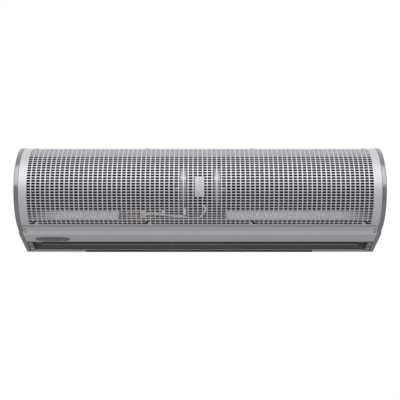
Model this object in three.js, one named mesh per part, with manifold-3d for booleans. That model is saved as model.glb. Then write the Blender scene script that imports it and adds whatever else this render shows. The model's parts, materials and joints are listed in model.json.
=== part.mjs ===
// Air curtain for a doorway: a long casing that hangs on the wall over the door. A motor in the
// middle turns a cross-flow wheel on each side. Air comes in through the curved, perforated front
// and leaves as a flat sheet through the slanted slot underneath, past a guide vane that tilts.
// Millimetres. +X runs along the casing, to the right of someone facing it, +Y points into the
// wall and +Z is up. The origin is the middle of the face that lies against the wall.

import * as THREE from 'three';
import { mergeVertices } from 'three/addons/utils/BufferGeometryUtils.js';
import Module from 'manifold-3d';

const wasm = await Module();
wasm.setup();

// Casing
const LENGTH = 900;
const DEPTH = 212;
const HEIGHT = 262;
const FRONT_RADIUS = 106;
const FIT = 0.3;
const OVERRUN = 2;

// Underside, from the wall forwards
const REAR_LIP_DEPTH = 47;
const REAR_LIP_RISE = 3;
const REAR_LIP_RUN = 9;
const OUTLET_WIDTH = 57.8;
const OUTLET_SLOPE = 24.5;
const LOWER_BAND_WIDTH = 47.3;
const LOWER_BAND_SLOPE = 25;
const BROW_WIDTH = 10.7;
const BROW_SLOPE = 65;
const SEAM_TURN = 13.1;

// End caps
const CAP_THICKNESS = 11;
const CAP_WALL = 3;
const CAP_RIM = 9;
const CAP_EDGE = 2;

// Skin of the casing
const SKIN_INSET = 1;
const GRILLE_SHEET = 1.5;
const SHELL_SHEET = 1.5;
const FASCIA_SHEET = 2;
const FLANGE_GAP = 0.5;
const JOGGLE_RUN = 4;
const REAR_FLANGE_END_ANGLE = 74;
const FASCIA_FLANGE_START_TURN = 13.5;
const FASCIA_FLANGE_END_TURN = 1.2;
const FASCIA_RETURN = 8;
const SHELL_FLOOR_REACH = 37;

// Grille
const GRILLE_SIDE_MARGIN = 31;
const WINDOW_COLUMNS = 12;
const WINDOW_ROWS = 12;
const BAR_WIDTH = 8;
const BAR_ANGLE = 2.4;
const GRILLE_TOP_ANGLE = 90;
const GRILLE_FOOT_TURN = 2.1;
const WINDOW_TOP_ANGLE = 76;
const TOP_SCREW_ANGLE = 80;
const WINDOW_FOOT_TURN = 10.5;

// Side plates and their corner plates
const SIDE_SHEET = 1.5;
const SIDE_INSET = 5.4;
const CORNER_WIDTH = 18;
const CORNER_START = 3.6;
const CORNER_END_MARGIN = 0.6;
const CORNER_TAB_DEPTH = 6;

// Rear lip of the outlet
const LIP_SHEET = 1.5;
const LIP_TAIL = 24;
const LIP_NOSE = 8.2;
const LIP_NOSE_RISE = 2.4;

// Wheel axis, and the passage around the wheels
const AXIS_DEPTH = 106;
const AXIS_DROP = 101;
const GUIDE_SHEET = 1.2;
const SCROLL_START_RADIUS = 66;
const SCROLL_START_ANGLE = 62;
const SCROLL_END_RADIUS = 94;
const SCROLL_END_ANGLE = -15;
const SCROLL_NOSE_RADIUS = 4;
const SCROLL_FLANGE_DROP = 7;
const SCROLL_FLANGE_HEIGHT = 12;
const SCROLL_BEND_DEPTH = 18.5;
const SCROLL_BEND_RISE = 71;
const SCROLL_FOOT_GAP = 3.6;
const TONGUE_TIP_REACH = 41;
const TONGUE_TIP_DROP = 54;
const TONGUE_BEND_REACH = 32;
const TONGUE_BEND_DROP = 88;

// Cross-flow wheels
const WHEEL_RADIUS = 60;
const BLADE_INNER_RADIUS = 48;
const BLADE_OUTER_RADIUS = 59.4;
const BLADE_SHEET = 1.2;
const BLADE_COUNT = 18;
const BLADE_SWEEP_ANGLE = 9;
const BLADE_CAMBER_ANGLE = 5.5;
const DISC_THICKNESS = 2;
const RING_COUNT = 1;
const RING_INNER_RADIUS = 46.5;
const WHEEL_START = 66;
const WHEEL_SIDE_CLEARANCE = 9;

// Shafts, hubs and outer bearings
const SHAFT_RADIUS = 5;
const SHAFT_BORE_GAP = 0.4;
const HUB_RADIUS = 14;
const HUB_FLANGE_RADIUS = 18;
const HUB_FLANGE_THICKNESS = 3.4;
const HUB_TAIL = 5;
const SHAFT_REACH = 70;
const STUB_INNER_REACH = 3;
const BEARING_HOLE_RADIUS = 20;
const BEARING_FLANGE_RADIUS = 24;
const BEARING_FLANGE_THICKNESS = 2.4;
const BUSH_RADIUS = 11.7;

// Motor
const MOTOR_RADIUS = 50;
const MOTOR_TUBE_WALL = 1.6;
const MOTOR_TUBE_HALF = 33.7;
const SHIELD_WALL = 2;
const SHIELD_RIM_START = 30;
const SHIELD_FACE = 49;
const BOSS_RADIUS = 18;
const BOSS_FACE = 56;
const BOSS_BORE_RADIUS = 6;
const CORE_HALF = 25;
const ROTOR_RADIUS = 28;
const AIR_GAP = 0.8;
const WINDING_OVERHANG = 6;
const WINDING_INNER_RADIUS = 31;
const WINDING_OUTER_RADIUS = 45;
const RING_RUBBER = 5.7;
const RING_START = 50;
const BRACKET_SHEET = 2;
const BRACKET_START = 52;
const BRACKET_RADIUS = 31;
const BRACKET_LEG_WIDTH = 24;
const BRACKET_LEG_REACH = 130;
const BRACKET_FRONT_LEG_ANGLE = -116;
const BRACKET_REAR_LEG_ANGLE = -22;
const LABEL_WIDTH = 25;
const LABEL_OFFSET = 2;
const LABEL_THICKNESS = 0.5;
const LABEL_TOP_ANGLE = 34;
const LABEL_FOOT_ANGLE = -23;

// Wiring bay between the tray covers
const BAY_LEFT = 200;
const BAY_RIGHT = 66;
const TRAY_SHEET = 1.2;
const TRAY_FLANGE_GAP = 0.5;
const COVER_FRONT_TURN = 11;
const COVER_FLANGE_END_TURN = 8.5;
const SHELF_FRONT_TURN = 8.5;
const SHELF_FLANGE_END_TURN = 12.5;
const TERMINAL_WIDTH = 12;
const TERMINAL_DEPTH = 20;
const TERMINAL_HEIGHT = 22;
const TERMINAL_OFFSET = 141;
const TERMINAL_REACH = 45;
const TERMINAL_POLES = 3;
const TERMINAL_NOTCH_DEPTH = 5;
const CAPACITOR_RADIUS = 12;
const CAPACITOR_LENGTH = 48;
const CAPACITOR_OFFSET = 84;
const CAPACITOR_REACH = 55;
const STRAP_SHEET = 1;
const STRAP_WIDTH = 8;
const WIRE_RADIUS = 1.5;
const MOTOR_LEAD_RADIUS = 2.5;
const SPLICE_RADIUS = 4;
const SPLICE_LENGTH = 14;
const SPLICE_OFFSET = 122;
const SPLICE_REACH = 62;

// Guide vane
const VANE_CHORD = 34;
const VANE_THICKNESS = 4;
const VANE_PIVOT_DEPTH = 77.5;
const VANE_PIVOT_RISE = 35;
const VANE_END_LENGTH = 13;
const VANE_END_THICKNESS = 9;
const VANE_END_HEIGHT = 20;
const VANE_END_CORNER = 2.25;
const VANE_END_GAP = 5;
const VANE_PIN_RADIUS = 3;
const VANE_PIN_END_GAP = 5;
const VANE_PIN_FIT = 0.35;

// Badge plate
const BADGE_LENGTH = 83;
const BADGE_HEIGHT = 28;
const BADGE_THICKNESS = 1.2;
const BADGE_END_INSET = 66;

// Screws
const SCREW_HEAD_RADIUS = 4;
const SCREW_HEAD_HEIGHT = 2;
const SCREW_SHANK_RADIUS = 2;
const SCREW_LENGTH = 5.4;
const CORNER_SCREW_INSET = 6.3;
const CORNER_SCREW_END_INSET = 12.6;
const CORNER_SCREW_LENGTH = 6;

// Wall plate
const PLATE_LENGTH = 620;
const PLATE_HEIGHT = 150;
const PLATE_THICKNESS = 2;
const PLATE_DROP = 96;
const PLATE_HOLE_RADIUS = 4;
const PLATE_HOLE_MARGIN = 22;
const HOOK_WIDTH = 30;
const HOOK_RISE = 8;
const HOOK_OFFSET = 250;
const HOOK_DROP = 51;
const HOOK_SLOT_DROP = 12;
const HOOK_SIDE_GAP = 2;

// Cable grommet in the top of the rear shell
const GROMMET_RADIUS = 8;
const GROMMET_BORE = 5;
const GROMMET_FLANGE = 11;
const GROMMET_FLANGE_THICKNESS = 2;
const GROMMET_END_INSET = 59;
const GROMMET_DEPTH = 40;

// Smoothness, in facets
const FRONT_STEPS = 22;
const ROUND_STEPS = 24;
const SMALL_ROUND_STEPS = 16;
const SCREW_STEPS = 10;
const SCROLL_STEPS = 12;
const BEND_STEPS = 5;
const NOSE_STEPS = 3;
const FLANGE_STEPS = 3;
const TONGUE_STEPS = 8;
const TUBE_SIDES = 8;
const TUBE_STEPS_PER_POINT = 2;
const HALVINGS = 30;

// Shares of the sizes they follow
const GRILLE_SCREW_SHARES = [-0.453, -0.1455, 0.1455, 0.453];
const COVER_TONGUE_SHARES = [0.2, 0.03];
const SHELF_FLANGE_SHARE = 0.13;
const TERMINAL_NOTCH_SHARE = 0.5;
const STRAP_PLACE_SHARE = 0.3;
const SCREW_RIM_SHARE = 0.5;
const SCREW_CROWN_SHARE = 0.6;

// Finishes
const SATIN_PLATE = { color: 0xcfced6, roughness: 0.34, metalness: 0.75 };
const SATIN_EXTRUSION = { color: 0xa9a7ae, roughness: 0.38, metalness: 0.7 };
const CAP_GREY = { color: 0x6f6e70, roughness: 0.3, metalness: 0.35 };
const GALVANISED = { color: 0xb4b6b8, roughness: 0.45, metalness: 0.8 };
const DARK_STEEL = { color: 0x4a484b, roughness: 0.5, metalness: 0.5 };
const WHEEL_BLACK = { color: 0x161618, roughness: 0.5, metalness: 0.4 };
const BRIGHT_STEEL = { color: 0xd8d8d6, roughness: 0.22, metalness: 0.95 };
const CAST_ALUMINIUM = { color: 0xc6c5c8, roughness: 0.45, metalness: 0.7 };
const MOTOR_BLACK = { color: 0x18181a, roughness: 0.5, metalness: 0.3 };
const RUBBER = { color: 0x1c1c1d, roughness: 0.85, metalness: 0 };
const BRONZE = { color: 0x9c7a45, roughness: 0.4, metalness: 0.85 };
const LAMINATION = { color: 0x6d6f74, roughness: 0.5, metalness: 0.7 };
const LABEL_WHITE = { color: 0xe7e6ec, roughness: 0.6, metalness: 0 };
const CREAM = { color: 0xe0cf9f, roughness: 0.5, metalness: 0 };
const CORNER_STEEL = { color: 0x8c8684, roughness: 0.42, metalness: 0.6 };
const BADGE_GREY = { color: 0x6a6265, roughness: 0.35, metalness: 0.4 };
const VANE_GREY = { color: 0x5c5c60, roughness: 0.4, metalness: 0.6 };
const WIRE_BROWN = { color: 0x6b3d2c, roughness: 0.5, metalness: 0 };
const WIRE_RED = { color: 0x9a3b35, roughness: 0.5, metalness: 0 };
const WIRE_WHITE = { color: 0xd8d6d8, roughness: 0.5, metalness: 0 };

// Values that follow from the sizes above
const HALF = LENGTH / 2;
const TOP = HEIGHT / 2;
const BOTTOM = -HEIGHT / 2;
const ARC_CENTRE = [FRONT_RADIUS - DEPTH, TOP - FRONT_RADIUS];
const AXIS = [-AXIS_DEPTH, TOP - AXIS_DROP];
const VANE_PIVOT = [-VANE_PIVOT_DEPTH, BOTTOM + VANE_PIVOT_RISE];
const CAP_INNER = HALF - CAP_THICKNESS;
const SKIN_END = CAP_INNER - FIT;
const SIDE_INNER = SKIN_END - SIDE_SHEET;
const GUIDE_END = SIDE_INNER - FIT;
const CORNER_INNER = CAP_INNER - CORNER_WIDTH;
const WHEEL_END = SIDE_INNER - WHEEL_SIDE_CLEARANCE;
const SHELL_BACK = -(PLATE_THICKNESS + FIT + SHELL_SHEET / 2);
const GRILLE_OUTER = FRONT_RADIUS - SKIN_INSET;
const GRILLE_INNER = GRILLE_OUTER - GRILLE_SHEET;
const FASCIA_FLANGE_RADIUS = GRILLE_INNER - FLANGE_GAP - FASCIA_SHEET / 2;
const TRAY_FLANGE_RADIUS = FASCIA_FLANGE_RADIUS - FASCIA_SHEET / 2 - TRAY_FLANGE_GAP - TRAY_SHEET / 2;
const TRAY_SEAT = GUIDE_SHEET / 2 + TRAY_FLANGE_GAP + TRAY_SHEET / 2;
const BADGE_OFFSET = CAP_INNER - BADGE_END_INSET;
const GROMMET_OFFSET = CAP_INNER - GROMMET_END_INSET;
const HOOK_HEIGHT = TOP - HOOK_DROP;

const radians = THREE.MathUtils.degToRad;
const degrees = THREE.MathUtils.radToDeg;

// The point of a section, as [y, z], at a distance from another and in a direction that turns from
// +Y towards +Z.
function polar(start, distance, turn) {
  const angle = radians(turn);
  return [start[0] + distance * Math.cos(angle), start[1] + distance * Math.sin(angle)];
}

// Points on the front arc between two elevations above the level of its centre.
function frontArc(radius, from, to, steps) {
  return Array.from({ length: steps + 1 }, (_, index) => {
    const elevation = from + ((to - from) * index) / steps;
    return polar(ARC_CENTRE, radius, 180 - elevation);
  });
}

function circle(centre, radius, steps) {
  return Array.from({ length: steps }, (_, index) => polar(centre, radius, (360 * index) / steps));
}

function heading(from, to) {
  const size = Math.hypot(to[0] - from[0], to[1] - from[1]);
  return [(to[0] - from[0]) / size, (to[1] - from[1]) / size];
}

// Moves a line of points to the left of its direction, with mitred corners.
function offset(points, distance, closed = false) {
  const last = points.length - 1;
  const next = (index) => points[index === last ? 0 : index + 1];
  const headings = points.map((point, index) => heading(point, next(index)));
  return points.map((point, index) => {
    const first = closed ? headings[last] : headings[0];
    const into = index === 0 ? first : headings[index - 1];
    const out = index === last && !closed ? into : headings[index];
    const reach = distance / (1 + into[0] * out[0] + into[1] * out[1]);
    return [point[0] - reach * (into[1] + out[1]), point[1] + reach * (into[0] + out[0])];
  });
}

// Carries both ends of a line straight on by a distance.
function lengthened(line, distance) {
  const last = line.length - 1;
  const [startY, startZ] = heading(line[1], line[0]);
  const [endY, endZ] = heading(line[last - 1], line[last]);
  return [
    [line[0][0] + startY * distance, line[0][1] + startZ * distance],
    ...line.slice(1, last),
    [line[last][0] + endY * distance, line[last][1] + endZ * distance],
  ];
}

// The outline of a bent sheet, from the line along the middle of its thickness.
function sheet(line, thickness) {
  return [...offset(line, thickness / 2), ...offset(line, -thickness / 2).reverse()];
}

// Corners of the underside
const REAR_LIP = [-REAR_LIP_DEPTH, BOTTOM + REAR_LIP_RISE];
const FRONT_LIP = polar(REAR_LIP, OUTLET_WIDTH, 180 - OUTLET_SLOPE);
const BROW = polar(FRONT_LIP, LOWER_BAND_WIDTH, 180 - LOWER_BAND_SLOPE);
const SHOULDER = polar(BROW, BROW_WIDTH, 180 - BROW_SLOPE);
const LIP_FOOT = [REAR_LIP[0] + REAR_LIP_RUN, BOTTOM];

// Angles below the level of the arc's centre. The arc ends a little short of the shoulder's
// direction, and what is fixed along its foot keeps its distance from that end.
const SHOULDER_ANGLE = degrees(Math.atan2(ARC_CENTRE[1] - SHOULDER[1], ARC_CENTRE[0] - SHOULDER[0]));
const FRONT_END_ANGLE = SHOULDER_ANGLE - SEAM_TURN;
const FRONT_FOOT = polar(ARC_CENTRE, FRONT_RADIUS, 180 + FRONT_END_ANGLE);
const GRILLE_FOOT_ANGLE = FRONT_END_ANGLE - GRILLE_FOOT_TURN;
const WINDOW_FOOT_ANGLE = FRONT_END_ANGLE - WINDOW_FOOT_TURN;
const FOOT_SCREW_ANGLE = -(GRILLE_FOOT_ANGLE + WINDOW_FOOT_ANGLE) / 2;
const footAngles = (...turns) => turns.map((turn) => turn - FRONT_END_ANGLE);

// The outline of the whole casing seen from the end, moved inwards by an inset.
function casingOutline(inset) {
  const arc = frontArc(FRONT_RADIUS, GRILLE_TOP_ANGLE, -FRONT_END_ANGLE, FRONT_STEPS);
  const line = [[0, TOP], ...arc, SHOULDER, BROW, FRONT_LIP, REAR_LIP, LIP_FOOT, [0, BOTTOM]];
  return offset(line, inset, true);
}

// The corners of the lower front, on a line moved inwards by an inset.
function lowerFront(inset) {
  const line = casingOutline(inset);
  const foot = 1 + FRONT_STEPS;
  return { shoulder: line[foot + 1], brow: line[foot + 2], lip: line[foot + 3] };
}

// A point in the plane of the outlet, from the front lip towards the wall.
function outletPoint(along, inset) {
  return polar(polar(FRONT_LIP, along, -OUTLET_SLOPE), inset, 90 - OUTLET_SLOPE);
}

const SECTION_FRAME = new THREE.Matrix4().makeBasis(
  new THREE.Vector3(0, 1, 0),
  new THREE.Vector3(0, 0, 1),
  new THREE.Vector3(1, 0, 0),
);

const vectors = (points) => points.map(([y, z]) => new THREE.Vector2(y, z));

// A section that runs along X between two ends, with holes right through it.
function prism(outline, ends, holes = []) {
  const [from, to] = [Math.min(...ends), Math.max(...ends)];
  const shape = new THREE.Shape(vectors(outline));
  shape.holes = holes.map((hole) => new THREE.Path(vectors(hole)));
  const geometry = new THREE.ExtrudeGeometry(shape, { depth: to - from, bevelEnabled: false });
  return geometry.applyMatrix4(SECTION_FRAME).translate(from, 0, 0);
}

function bare(geometry) {
  const copy = geometry.clone();
  copy.deleteAttribute('normal');
  copy.deleteAttribute('uv');
  return mergeVertices(copy);
}

// Turns every face round if they point inwards.
function outward(geometry) {
  const copy = bare(geometry);
  const corners = [new THREE.Vector3(), new THREE.Vector3(), new THREE.Vector3()];
  let volume = 0;
  for (let face = 0; face < copy.index.count; face += 3) {
    corners.forEach((corner, turn) => {
      corner.fromBufferAttribute(copy.attributes.position, copy.index.getX(face + turn));
    });
    volume += corners[0].dot(corners[1].cross(corners[2]));
  }
  if (volume < 0) copy.index.array.reverse();
  return copy;
}

// A round piece about the X axis, from a closed profile of [radius, x] points.
function turned(profile, steps = ROUND_STEPS) {
  const closed = [...profile, profile[0]].map(([radius, x]) => new THREE.Vector2(radius, x));
  return outward(new THREE.LatheGeometry(closed, steps).rotateZ(-Math.PI / 2));
}

// A plain ring about the X axis.
function ring(inner, outer, ends, steps = ROUND_STEPS) {
  return turned([[inner, ends[0]], [outer, ends[0]], [outer, ends[1]], [inner, ends[1]]], steps);
}

function rod(radius, ends, steps = ROUND_STEPS) {
  return ring(0, radius, ends, steps);
}

// A wire that follows a route over the shelf.
function tube(route, radius) {
  const points = route.map(([x, y, z]) => new THREE.Vector3(x, AXIS[0] + y, SHELF_TOP + z));
  const path = new THREE.CatmullRomCurve3(points);
  const section = new THREE.Shape(vectors(circle([0, 0], radius, TUBE_SIDES)));
  const steps = (route.length - 1) * TUBE_STEPS_PER_POINT;
  return new THREE.ExtrudeGeometry(section, { steps, extrudePath: path });
}

function toSolid(geometry) {
  const copy = bare(geometry);
  const faces = [];
  for (let face = 0; face < copy.index.count; face += 3) {
    const [a, b, c] = [0, 1, 2].map((turn) => copy.index.getX(face + turn));
    if (a !== b && b !== c && c !== a) faces.push(a, b, c);
  }
  const vertProperties = Float32Array.from(copy.attributes.position.array);
  const triVerts = Uint32Array.from(faces);
  return new wasm.Manifold(new wasm.Mesh({ numProp: 3, vertProperties, triVerts }));
}

function toGeometry(solid) {
  const mesh = solid.getMesh();
  const geometry = new THREE.BufferGeometry();
  geometry.setAttribute('position', new THREE.BufferAttribute(mesh.vertProperties, 3));
  geometry.setIndex(new THREE.BufferAttribute(mesh.triVerts, 1));
  geometry.computeVertexNormals();
  return geometry;
}

function join(pieces) {
  return toGeometry(pieces.map(toSolid).reduce((all, piece) => all.add(piece)));
}

function cut(piece, tools) {
  return toGeometry(tools.map(toSolid).reduce((rest, tool) => rest.subtract(tool), toSolid(piece)));
}

function common(piece, other) {
  return toGeometry(toSolid(piece).intersect(toSolid(other)));
}

// A round cutter through a section point, square to a face that looks along an angle.
function borer(x, point, turn, radius, reach) {
  const tool = new THREE.CylinderGeometry(radius, radius, 2 * reach, SMALL_ROUND_STEPS);
  return tool.rotateX(radians(turn)).translate(x, point[0], point[1]);
}

function block(size, centre) {
  return new THREE.BoxGeometry(...size).translate(...centre);
}

function addPart(parent, name, geometry, finish) {
  const mesh = new THREE.Mesh(geometry, new THREE.MeshStandardMaterial(finish));
  mesh.name = name;
  parent.add(mesh);
  return mesh;
}

const SIDES = [
  { name: 'left', sign: -1 },
  { name: 'right', sign: 1 },
];

// Where the grille screws go: along the top edge and along the foot.
const GRILLE_EDGES = [
  { edge: 'top', angle: TOP_SCREW_ANGLE },
  { edge: 'foot', angle: FOOT_SCREW_ANGLE },
];
const GRILLE_SCREWS = GRILLE_EDGES.flatMap(({ edge, angle }) =>
  GRILLE_SCREW_SHARES.map((share, index) => ({
    name: `${edge}_grille_screw_${index + 1}`,
    x: share * LENGTH,
    angle: 180 - angle,
  })));

function grilleScrewHoles() {
  return GRILLE_SCREWS.map(({ x, angle }) =>
    borer(x, polar(ARC_CENTRE, GRILLE_INNER, angle), angle, SCREW_SHANK_RADIUS + FIT, SCREW_LENGTH));
}

// A moulded cap: a flat outer wall, a broad rim and a rounded outer edge.
function endCap(sign) {
  const shape = new THREE.Shape(vectors(casingOutline(0)));
  const sizes = { bevelThickness: CAP_EDGE, bevelSize: CAP_EDGE, bevelOffset: -CAP_EDGE };
  const edge = { ...sizes, bevelSegments: 1 };
  const body = new THREE.ExtrudeGeometry(shape, { depth: CAP_THICKNESS, ...edge });
  body.applyMatrix4(SECTION_FRAME);
  body.translate(sign * (HALF - CAP_EDGE) - (sign > 0 ? CAP_THICKNESS : 0), 0, 0);
  const casing = block([2 * CAP_INNER, 2 * DEPTH, 2 * HEIGHT], [0, -DEPTH / 2, 0]);
  const pocket = prism(casingOutline(CAP_RIM), [sign * (CAP_INNER - OVERRUN), sign * (HALF - CAP_WALL)]);
  return cut(body, [casing, pocket]);
}

// A steel plate that closes one end, with a corner plate bent into the plane of the outlet.
function sidePlate(sign) {
  const ends = [sign * SIDE_INNER, sign * SKIN_END];
  const holes = [
    circle(AXIS, BEARING_HOLE_RADIUS, ROUND_STEPS),
    circle(VANE_PIVOT, VANE_PIN_RADIUS + VANE_PIN_FIT, SMALL_ROUND_STEPS),
  ];
  const plate = prism(casingOutline(SIDE_INSET), ends, holes);
  const cornerEnd = OUTLET_WIDTH - CORNER_END_MARGIN;
  const strip = (depth) => [
    outletPoint(CORNER_START, SKIN_INSET),
    outletPoint(cornerEnd, SKIN_INSET),
    outletPoint(cornerEnd, SKIN_INSET + depth),
    outletPoint(CORNER_START, SKIN_INSET + depth),
  ];
  const tab = prism(strip(CORNER_TAB_DEPTH), ends);
  const corner = prism(strip(SIDE_SHEET), [sign * CORNER_INNER, sign * SKIN_END]);
  const drills = cornerScrewPlaces(sign).map(({ x, point }) =>
    borer(x, point, -90 - OUTLET_SLOPE, SCREW_SHANK_RADIUS + FIT, SIDE_SHEET + OVERRUN));
  const fascia = lengthened(fasciaLine(), FIT);
  const room = prism(sheet(fascia, FASCIA_SHEET + 2 * FIT), [sign * (SIDE_INNER - OVERRUN), sign * HALF]);
  return cut(join([plate, tab, corner]), [room, ...drills]);
}

function cornerScrewPlaces(sign) {
  const x = sign * (CAP_INNER - CORNER_SCREW_INSET);
  return [
    { name: 'front', x, point: outletPoint(CORNER_SCREW_END_INSET, SKIN_INSET) },
    { name: 'rear', x, point: outletPoint(OUTLET_WIDTH - CORNER_SCREW_END_INSET, SKIN_INSET) },
  ];
}

// Elevations at which the grille bends, and the elevations between which each window lies. It bends
// along the middle of every bar, so that each row of windows is in a flat strip.
function grilleStations() {
  const pitch = (WINDOW_TOP_ANGLE + WINDOW_FOOT_ANGLE + BAR_ANGLE) / WINDOW_ROWS;
  const windows = Array.from({ length: WINDOW_ROWS }, (_, row) => {
    const top = WINDOW_TOP_ANGLE - row * pitch;
    return { top, foot: top - pitch + BAR_ANGLE };
  });
  const bends = windows.map(({ top }) => top + BAR_ANGLE / 2);
  const last = windows[WINDOW_ROWS - 1].foot - BAR_ANGLE / 2;
  const edge = [GRILLE_TOP_ANGLE, (GRILLE_TOP_ANGLE + TOP_SCREW_ANGLE) / 2, TOP_SCREW_ANGLE];
  return { windows, bends: [...edge, ...bends, last, -GRILLE_FOOT_ANGLE] };
}

function arcBand(elevations, inner, outer) {
  const edge = (radius) => elevations.map((elevation) => polar(ARC_CENTRE, radius, 180 - elevation));
  return [...edge(outer), ...edge(inner).reverse()];
}

// The perforated front. Each window stands for a block of the small punched holes.
function frontGrille() {
  const { windows, bends } = grilleStations();
  const span = SKIN_END - GRILLE_SIDE_MARGIN + FIT;
  const pitch = (2 * span + BAR_WIDTH) / WINDOW_COLUMNS;
  const body = prism(arcBand(bends, GRILLE_INNER, GRILLE_OUTER), [-SKIN_END, SKIN_END]);
  const punches = windows.flatMap(({ top, foot }) => {
    const section = arcBand([top, foot], GRILLE_INNER - OVERRUN, GRILLE_OUTER + OVERRUN);
    return Array.from({ length: WINDOW_COLUMNS }, (_, column) => {
      const start = -span + column * pitch;
      return prism(section, [start, start + pitch - BAR_WIDTH]);
    });
  });
  return cut(body, [...punches, ...grilleScrewHoles()]);
}

// The line of the fascia: a flange behind the grille's foot, the three bands and a return.
function fasciaLine() {
  const middle = lowerFront(SKIN_INSET + FASCIA_SHEET / 2);
  const [from, to] = footAngles(FASCIA_FLANGE_START_TURN, FASCIA_FLANGE_END_TURN);
  const flange = frontArc(FASCIA_FLANGE_RADIUS, from, to, FLANGE_STEPS);
  const [y, z] = heading(FRONT_FOOT, SHOULDER);
  const start = [FRONT_FOOT[0] + y * JOGGLE_RUN, FRONT_FOOT[1] + z * JOGGLE_RUN];
  const seam = offset([start, SHOULDER], SKIN_INSET + FASCIA_SHEET / 2)[0];
  return [...flange, seam, middle.shoulder, middle.brow, middle.lip, fasciaReturnTop()];
}

// The stepped extrusion under the grille.
function frontFascia() {
  const body = prism(sheet(fasciaLine(), FASCIA_SHEET), [-SKIN_END, SKIN_END]);
  return cut(body, grilleScrewHoles());
}

function fasciaReturnTop() {
  return polar(lowerFront(SKIN_INSET + FASCIA_SHEET / 2).lip, FASCIA_RETURN, 90 - LOWER_BAND_SLOPE);
}

// Top, back and floor of the casing in one bent sheet, with a flange under the grille's top edge.
function rearShell() {
  const top = TOP - SKIN_INSET - SHELL_SHEET / 2;
  const flangeRadius = GRILLE_INNER - FLANGE_GAP - SHELL_SHEET / 2;
  const flange = frontArc(flangeRadius, REAR_FLANGE_END_ANGLE, GRILLE_TOP_ANGLE, FLANGE_STEPS);
  const line = [
    ...flange,
    [ARC_CENTRE[0] + JOGGLE_RUN, top],
    [SHELL_BACK, top],
    [SHELL_BACK, -top],
    [-SHELL_FLOOR_REACH, -top],
  ];
  const body = prism(sheet(line, SHELL_SHEET), [-SKIN_END, SKIN_END]);
  const slots = SIDES.map(({ sign }) => block(
    [HOOK_WIDTH + 2 * HOOK_SIDE_GAP, SHELL_SHEET + 2 * OVERRUN, HOOK_SLOT_DROP + PLATE_THICKNESS + FIT],
    [sign * HOOK_OFFSET, SHELL_BACK, HOOK_HEIGHT + (PLATE_THICKNESS + FIT - HOOK_SLOT_DROP) / 2],
  ));
  const seat = GROMMET_RADIUS + FIT;
  const inlet = borer(GROMMET_OFFSET, [-GROMMET_DEPTH, top], 90, seat, SHELL_SHEET + OVERRUN);
  return cut(body, [...slots, inlet, ...grilleScrewHoles()]);
}

// The part of the scroll plate that guides the air: a spiral round the axis, then a bend.
function scrollGuide() {
  const sweep = SCROLL_END_ANGLE - SCROLL_START_ANGLE;
  const growth = Math.log(SCROLL_END_RADIUS / SCROLL_START_RADIUS) / sweep;
  const spiral = Array.from({ length: SCROLL_STEPS + 1 }, (_, index) => {
    const turn = (sweep * index) / SCROLL_STEPS;
    return polar(AXIS, SCROLL_START_RADIUS * Math.exp(growth * turn), SCROLL_START_ANGLE + turn);
  });
  const foot = outletPoint(OUTLET_WIDTH, SCROLL_FOOT_GAP + GUIDE_SHEET);
  const bend = new THREE.QuadraticBezierCurve(
    new THREE.Vector2(...spiral[SCROLL_STEPS]),
    new THREE.Vector2(-SCROLL_BEND_DEPTH, BOTTOM + SCROLL_BEND_RISE),
    new THREE.Vector2(...foot),
  );
  return [...spiral, ...bend.getPoints(BEND_STEPS).slice(1).map(({ x, y }) => [x, y])];
}

// The whole scroll plate: a flange on the back of the shell, a round nose and the guide.
function scrollLine() {
  const wall = SHELL_BACK - SHELL_SHEET / 2 - FIT - GUIDE_SHEET / 2;
  const guide = scrollGuide();
  const noseCentre = [guide[0][0], guide[0][1] + SCROLL_NOSE_RADIUS];
  const nose = Array.from({ length: NOSE_STEPS }, (_, index) =>
    polar(noseCentre, SCROLL_NOSE_RADIUS, 90 + (180 * index) / NOSE_STEPS));
  const top = TOP - SCROLL_FLANGE_DROP;
  return [[wall, top], [wall, top - SCROLL_FLANGE_HEIGHT], ...nose, ...guide];
}

function tongueCurve() {
  const seat = FASCIA_SHEET / 2 + FIT + GUIDE_SHEET / 2;
  const foot = polar(fasciaReturnTop(), seat, 180 - LOWER_BAND_SLOPE);
  return new THREE.QuadraticBezierCurve(
    new THREE.Vector2(AXIS[0] - TONGUE_TIP_REACH, AXIS[1] - TONGUE_TIP_DROP),
    new THREE.Vector2(AXIS[0] - TONGUE_BEND_REACH, AXIS[1] - TONGUE_BEND_DROP),
    new THREE.Vector2(...foot),
  );
}

function tongueLine() {
  return tongueCurve().getPoints(TONGUE_STEPS).map(({ x, y }) => [x, y]);
}

// Points in front of the tongue plate, for sheets that lie along it.
function besideTongue(shares, distance) {
  const curve = tongueCurve();
  return shares.map((share) => {
    const point = curve.getPoint(share);
    const tangent = curve.getTangent(share);
    return [point.x + tangent.y * distance, point.y - tangent.x * distance];
  });
}

// The open passage between the scroll plate and the tongue plate.
function airway(gap) {
  const reach = GUIDE_SHEET / 2 + gap;
  const rear = offset(scrollGuide(), -reach);
  const front = offset(tongueLine(), reach).reverse();
  return [...rear, ...front];
}

// A tray cover that slopes from the tip of the tongue plate down to the fascia's flange.
function trayCover(ends) {
  const [from, to] = footAngles(COVER_FRONT_TURN, COVER_FLANGE_END_TURN);
  const flange = frontArc(TRAY_FLANGE_RADIUS, from, to, 1);
  return prism(sheet([...besideTongue(COVER_TONGUE_SHARES, TRAY_SEAT), ...flange], TRAY_SHEET), ends);
}

// The share of the tongue's curve at which a sheet beside it reaches a height.
function tongueShare(height) {
  let [above, below] = [0, 1];
  for (let step = 0; step < HALVINGS; step += 1) {
    const middle = (above + below) / 2;
    if (besideTongue([middle], TRAY_SEAT)[0][1] > height) above = middle;
    else below = middle;
  }
  return above;
}

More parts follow.
